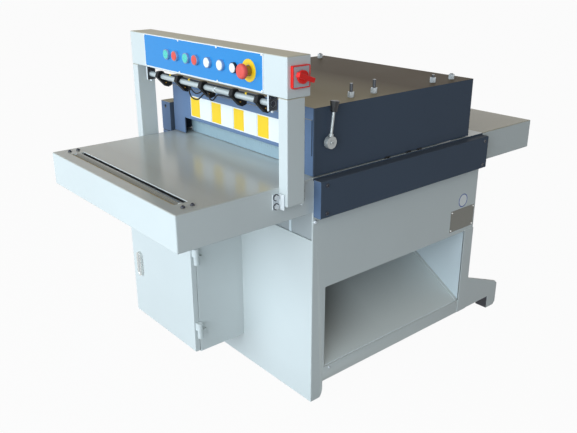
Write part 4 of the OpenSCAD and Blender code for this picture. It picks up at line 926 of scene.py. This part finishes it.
# blank plates: tiles on the hood's front plate, name plate and round disc on the base
plateLook = {
    "tiles": [(-0.250, -0.1285), (-0.127, -0.0065), (-0.005, 0.1155), (0.117, 0.238)],
    "tileFace": -0.329, "tileLow": 0.821, "tileHigh": 0.892, "tileSplit": 0.46, "tileThick": 0.0004, "tileRim": 0.003,
    "name": ((0.3698, 0.329, 0.408), (0.3710, 0.463, 0.488)), "nameEdge": 0.0004, "rivetSet": 0.006,
    "rivet": [(0.0032, 0), (0.0028, 0.0008), (0.0016, 0.0013), (0, 0.0015)],
    "disc": (0.3698, 0.393, 0.517), "discRadius": 0.025, "discRim": 0.0212, "discThick": 0.0005,
}
for name, finish, thick in (("hood_tiles", "white_plastic", plateLook["tileThick"]),
                            ("hood_tile_fields", "yellow", plateLook["tileThick"] * 2)):
    shape = bmesh.new()
    for left, right in plateLook["tiles"]:
        low, high, rim = plateLook["tileLow"], plateLook["tileHigh"], plateLook["tileRim"]
        if finish == "yellow":
            left, right = left + rim, left + (right - left) * plateLook["tileSplit"]
            low, high = low + rim, high - rim
        addBox(shape, (left, plateLook["tileFace"] - thick, low), (right, plateLook["tileFace"], high))
    finishPiece(name, shape, finish, "hood")
shape = bmesh.new()
addBox(shape, *plateLook["name"])
roundEdges(shape, sharpEdges(shape), plateLook["nameEdge"], 2)
finishPiece("name_plate", shape, "tag_plate", "root")
shape = bmesh.new()
(x0, y0, z0), (x1, y1, z1) = plateLook["name"]
for y in (y0 + plateLook["rivetSet"], y1 - plateLook["rivetSet"]):
    for z in (z0 + plateLook["rivetSet"], z1 - plateLook["rivetSet"]):
        turnProfile(shape, plateLook["rivet"], (x1, y, z), (1, 0, 0), 16)
finishPiece("name_plate_rivets", shape, "zinc", "root")
shape = bmesh.new()
radius, rim, thick = plateLook["discRadius"], plateLook["discRim"], plateLook["discThick"]
turnProfile(shape, [(0, 0), (radius, 0), (radius, thick), (rim, thick), (0, thick)], plateLook["disc"], (1, 0, 0))
paintFaces(shape, 1, lambda at, way: way.x > 0.9
           and math.hypot(at.y - plateLook["disc"][1], at.z - plateLook["disc"][2]) > rim)
finishPiece("round_disc", shape, ["white_plastic", "blue_rim"], "root")
print("plates made")

# floor, world and lamp: pale from above, bluish from the front
studio = {
    "zenith": (0.36, 0.335, 0.28, 1.0),
    "horizon": (0.045, 0.065, 0.09, 1.0),
    "key": {"place": (0.6, -5.0, 1.95), "target": (0.0, 0.0, 0.62), "size": (11.0, 4.2), "power": 512.0,
            "colour": (0.79, 0.91, 1.0)},
    "floorColour": (0.34, 0.35, 0.36, 1.0),
    "floorShine": 0.96,
    "floorSize": 70.0,
    "floorAt": (0, 0, -0.0005),
    "white": (1.0, 1.0, 1.0, 1.0),
}


def seenRays(wire):
    camera, glossy, through = (wire.add("ShaderNodeLightPath", take="Is %s Ray" % kind)
                               for kind in ("Camera", "Glossy", "Transmission"))
    return wire.maths("MINIMUM", camera + glossy + through, 1.0)


def setStudio(values):
    world = bpy.data.worlds.new("studio")
    scene.world = world
    world.use_nodes = True
    world.node_tree.nodes.clear()
    wire = Wire(world.node_tree)
    upward = wire.maths("MAXIMUM", wire.add("ShaderNodeTexCoord", take="Generated").part("Z"), 0.0)
    sky = blendColour(wire, upward, values["horizon"], values["zenith"])
    dim = wire.add("ShaderNodeBackground", None, {"Color": sky, "Strength": 1.0})
    white = wire.add("ShaderNodeBackground", None, {"Color": values["white"], "Strength": 1.0})
    mixed = wire.add("ShaderNodeMixShader", None, {0: seenRays(wire), 1: dim, 2: white})
    output = world.node_tree.nodes.new("ShaderNodeOutputWorld")
    world.node_tree.links.new(mixed.socket, output.inputs["Surface"])

    look, wire = newLook("floorSheet")
    matt = wire.add("ShaderNodeBsdfDiffuse", None, {"Color": values["floorColour"]})
    glow = wire.add("ShaderNodeEmission", None, {"Color": values["white"], "Strength": 1.0})
    shine = seenRays(wire) * values["floorShine"]
    closeLook(look, wire, wire.add("ShaderNodeMixShader", None, {0: shine, 1: matt, 2: glow}))
    shape = bmesh.new()
    bmesh.ops.create_grid(shape, x_segments=1, y_segments=1, size=values["floorSize"],
                          matrix=Matrix.Translation(values["floorAt"]))
    mesh = bpy.data.meshes.new("floorSheet")
    shape.to_mesh(mesh)
    shape.free()
    mesh.materials.append(look)
    floor = bpy.data.objects.new("floorSheet", mesh)
    scene.collection.objects.link(floor)

    key = values["key"]
    lamp = bpy.data.lights.new("windowLamp", "AREA")
    lamp.shape = "RECTANGLE"
    lamp.size, lamp.size_y = key["size"]
    lamp.energy = key["power"]
    lamp.color = key["colour"]
    lampObject = bpy.data.objects.new("windowLamp", lamp)
    scene.collection.objects.link(lampObject)
    lampObject.location = key["place"]
    lampObject.rotation_mode = "QUATERNION"
    lampObject.rotation_quaternion = (Vector(key["target"]) - Vector(key["place"])).to_track_quat("-Z", "Y")
    scene.view_settings.view_transform = "Standard"


setStudio(studio)
print("studio set")
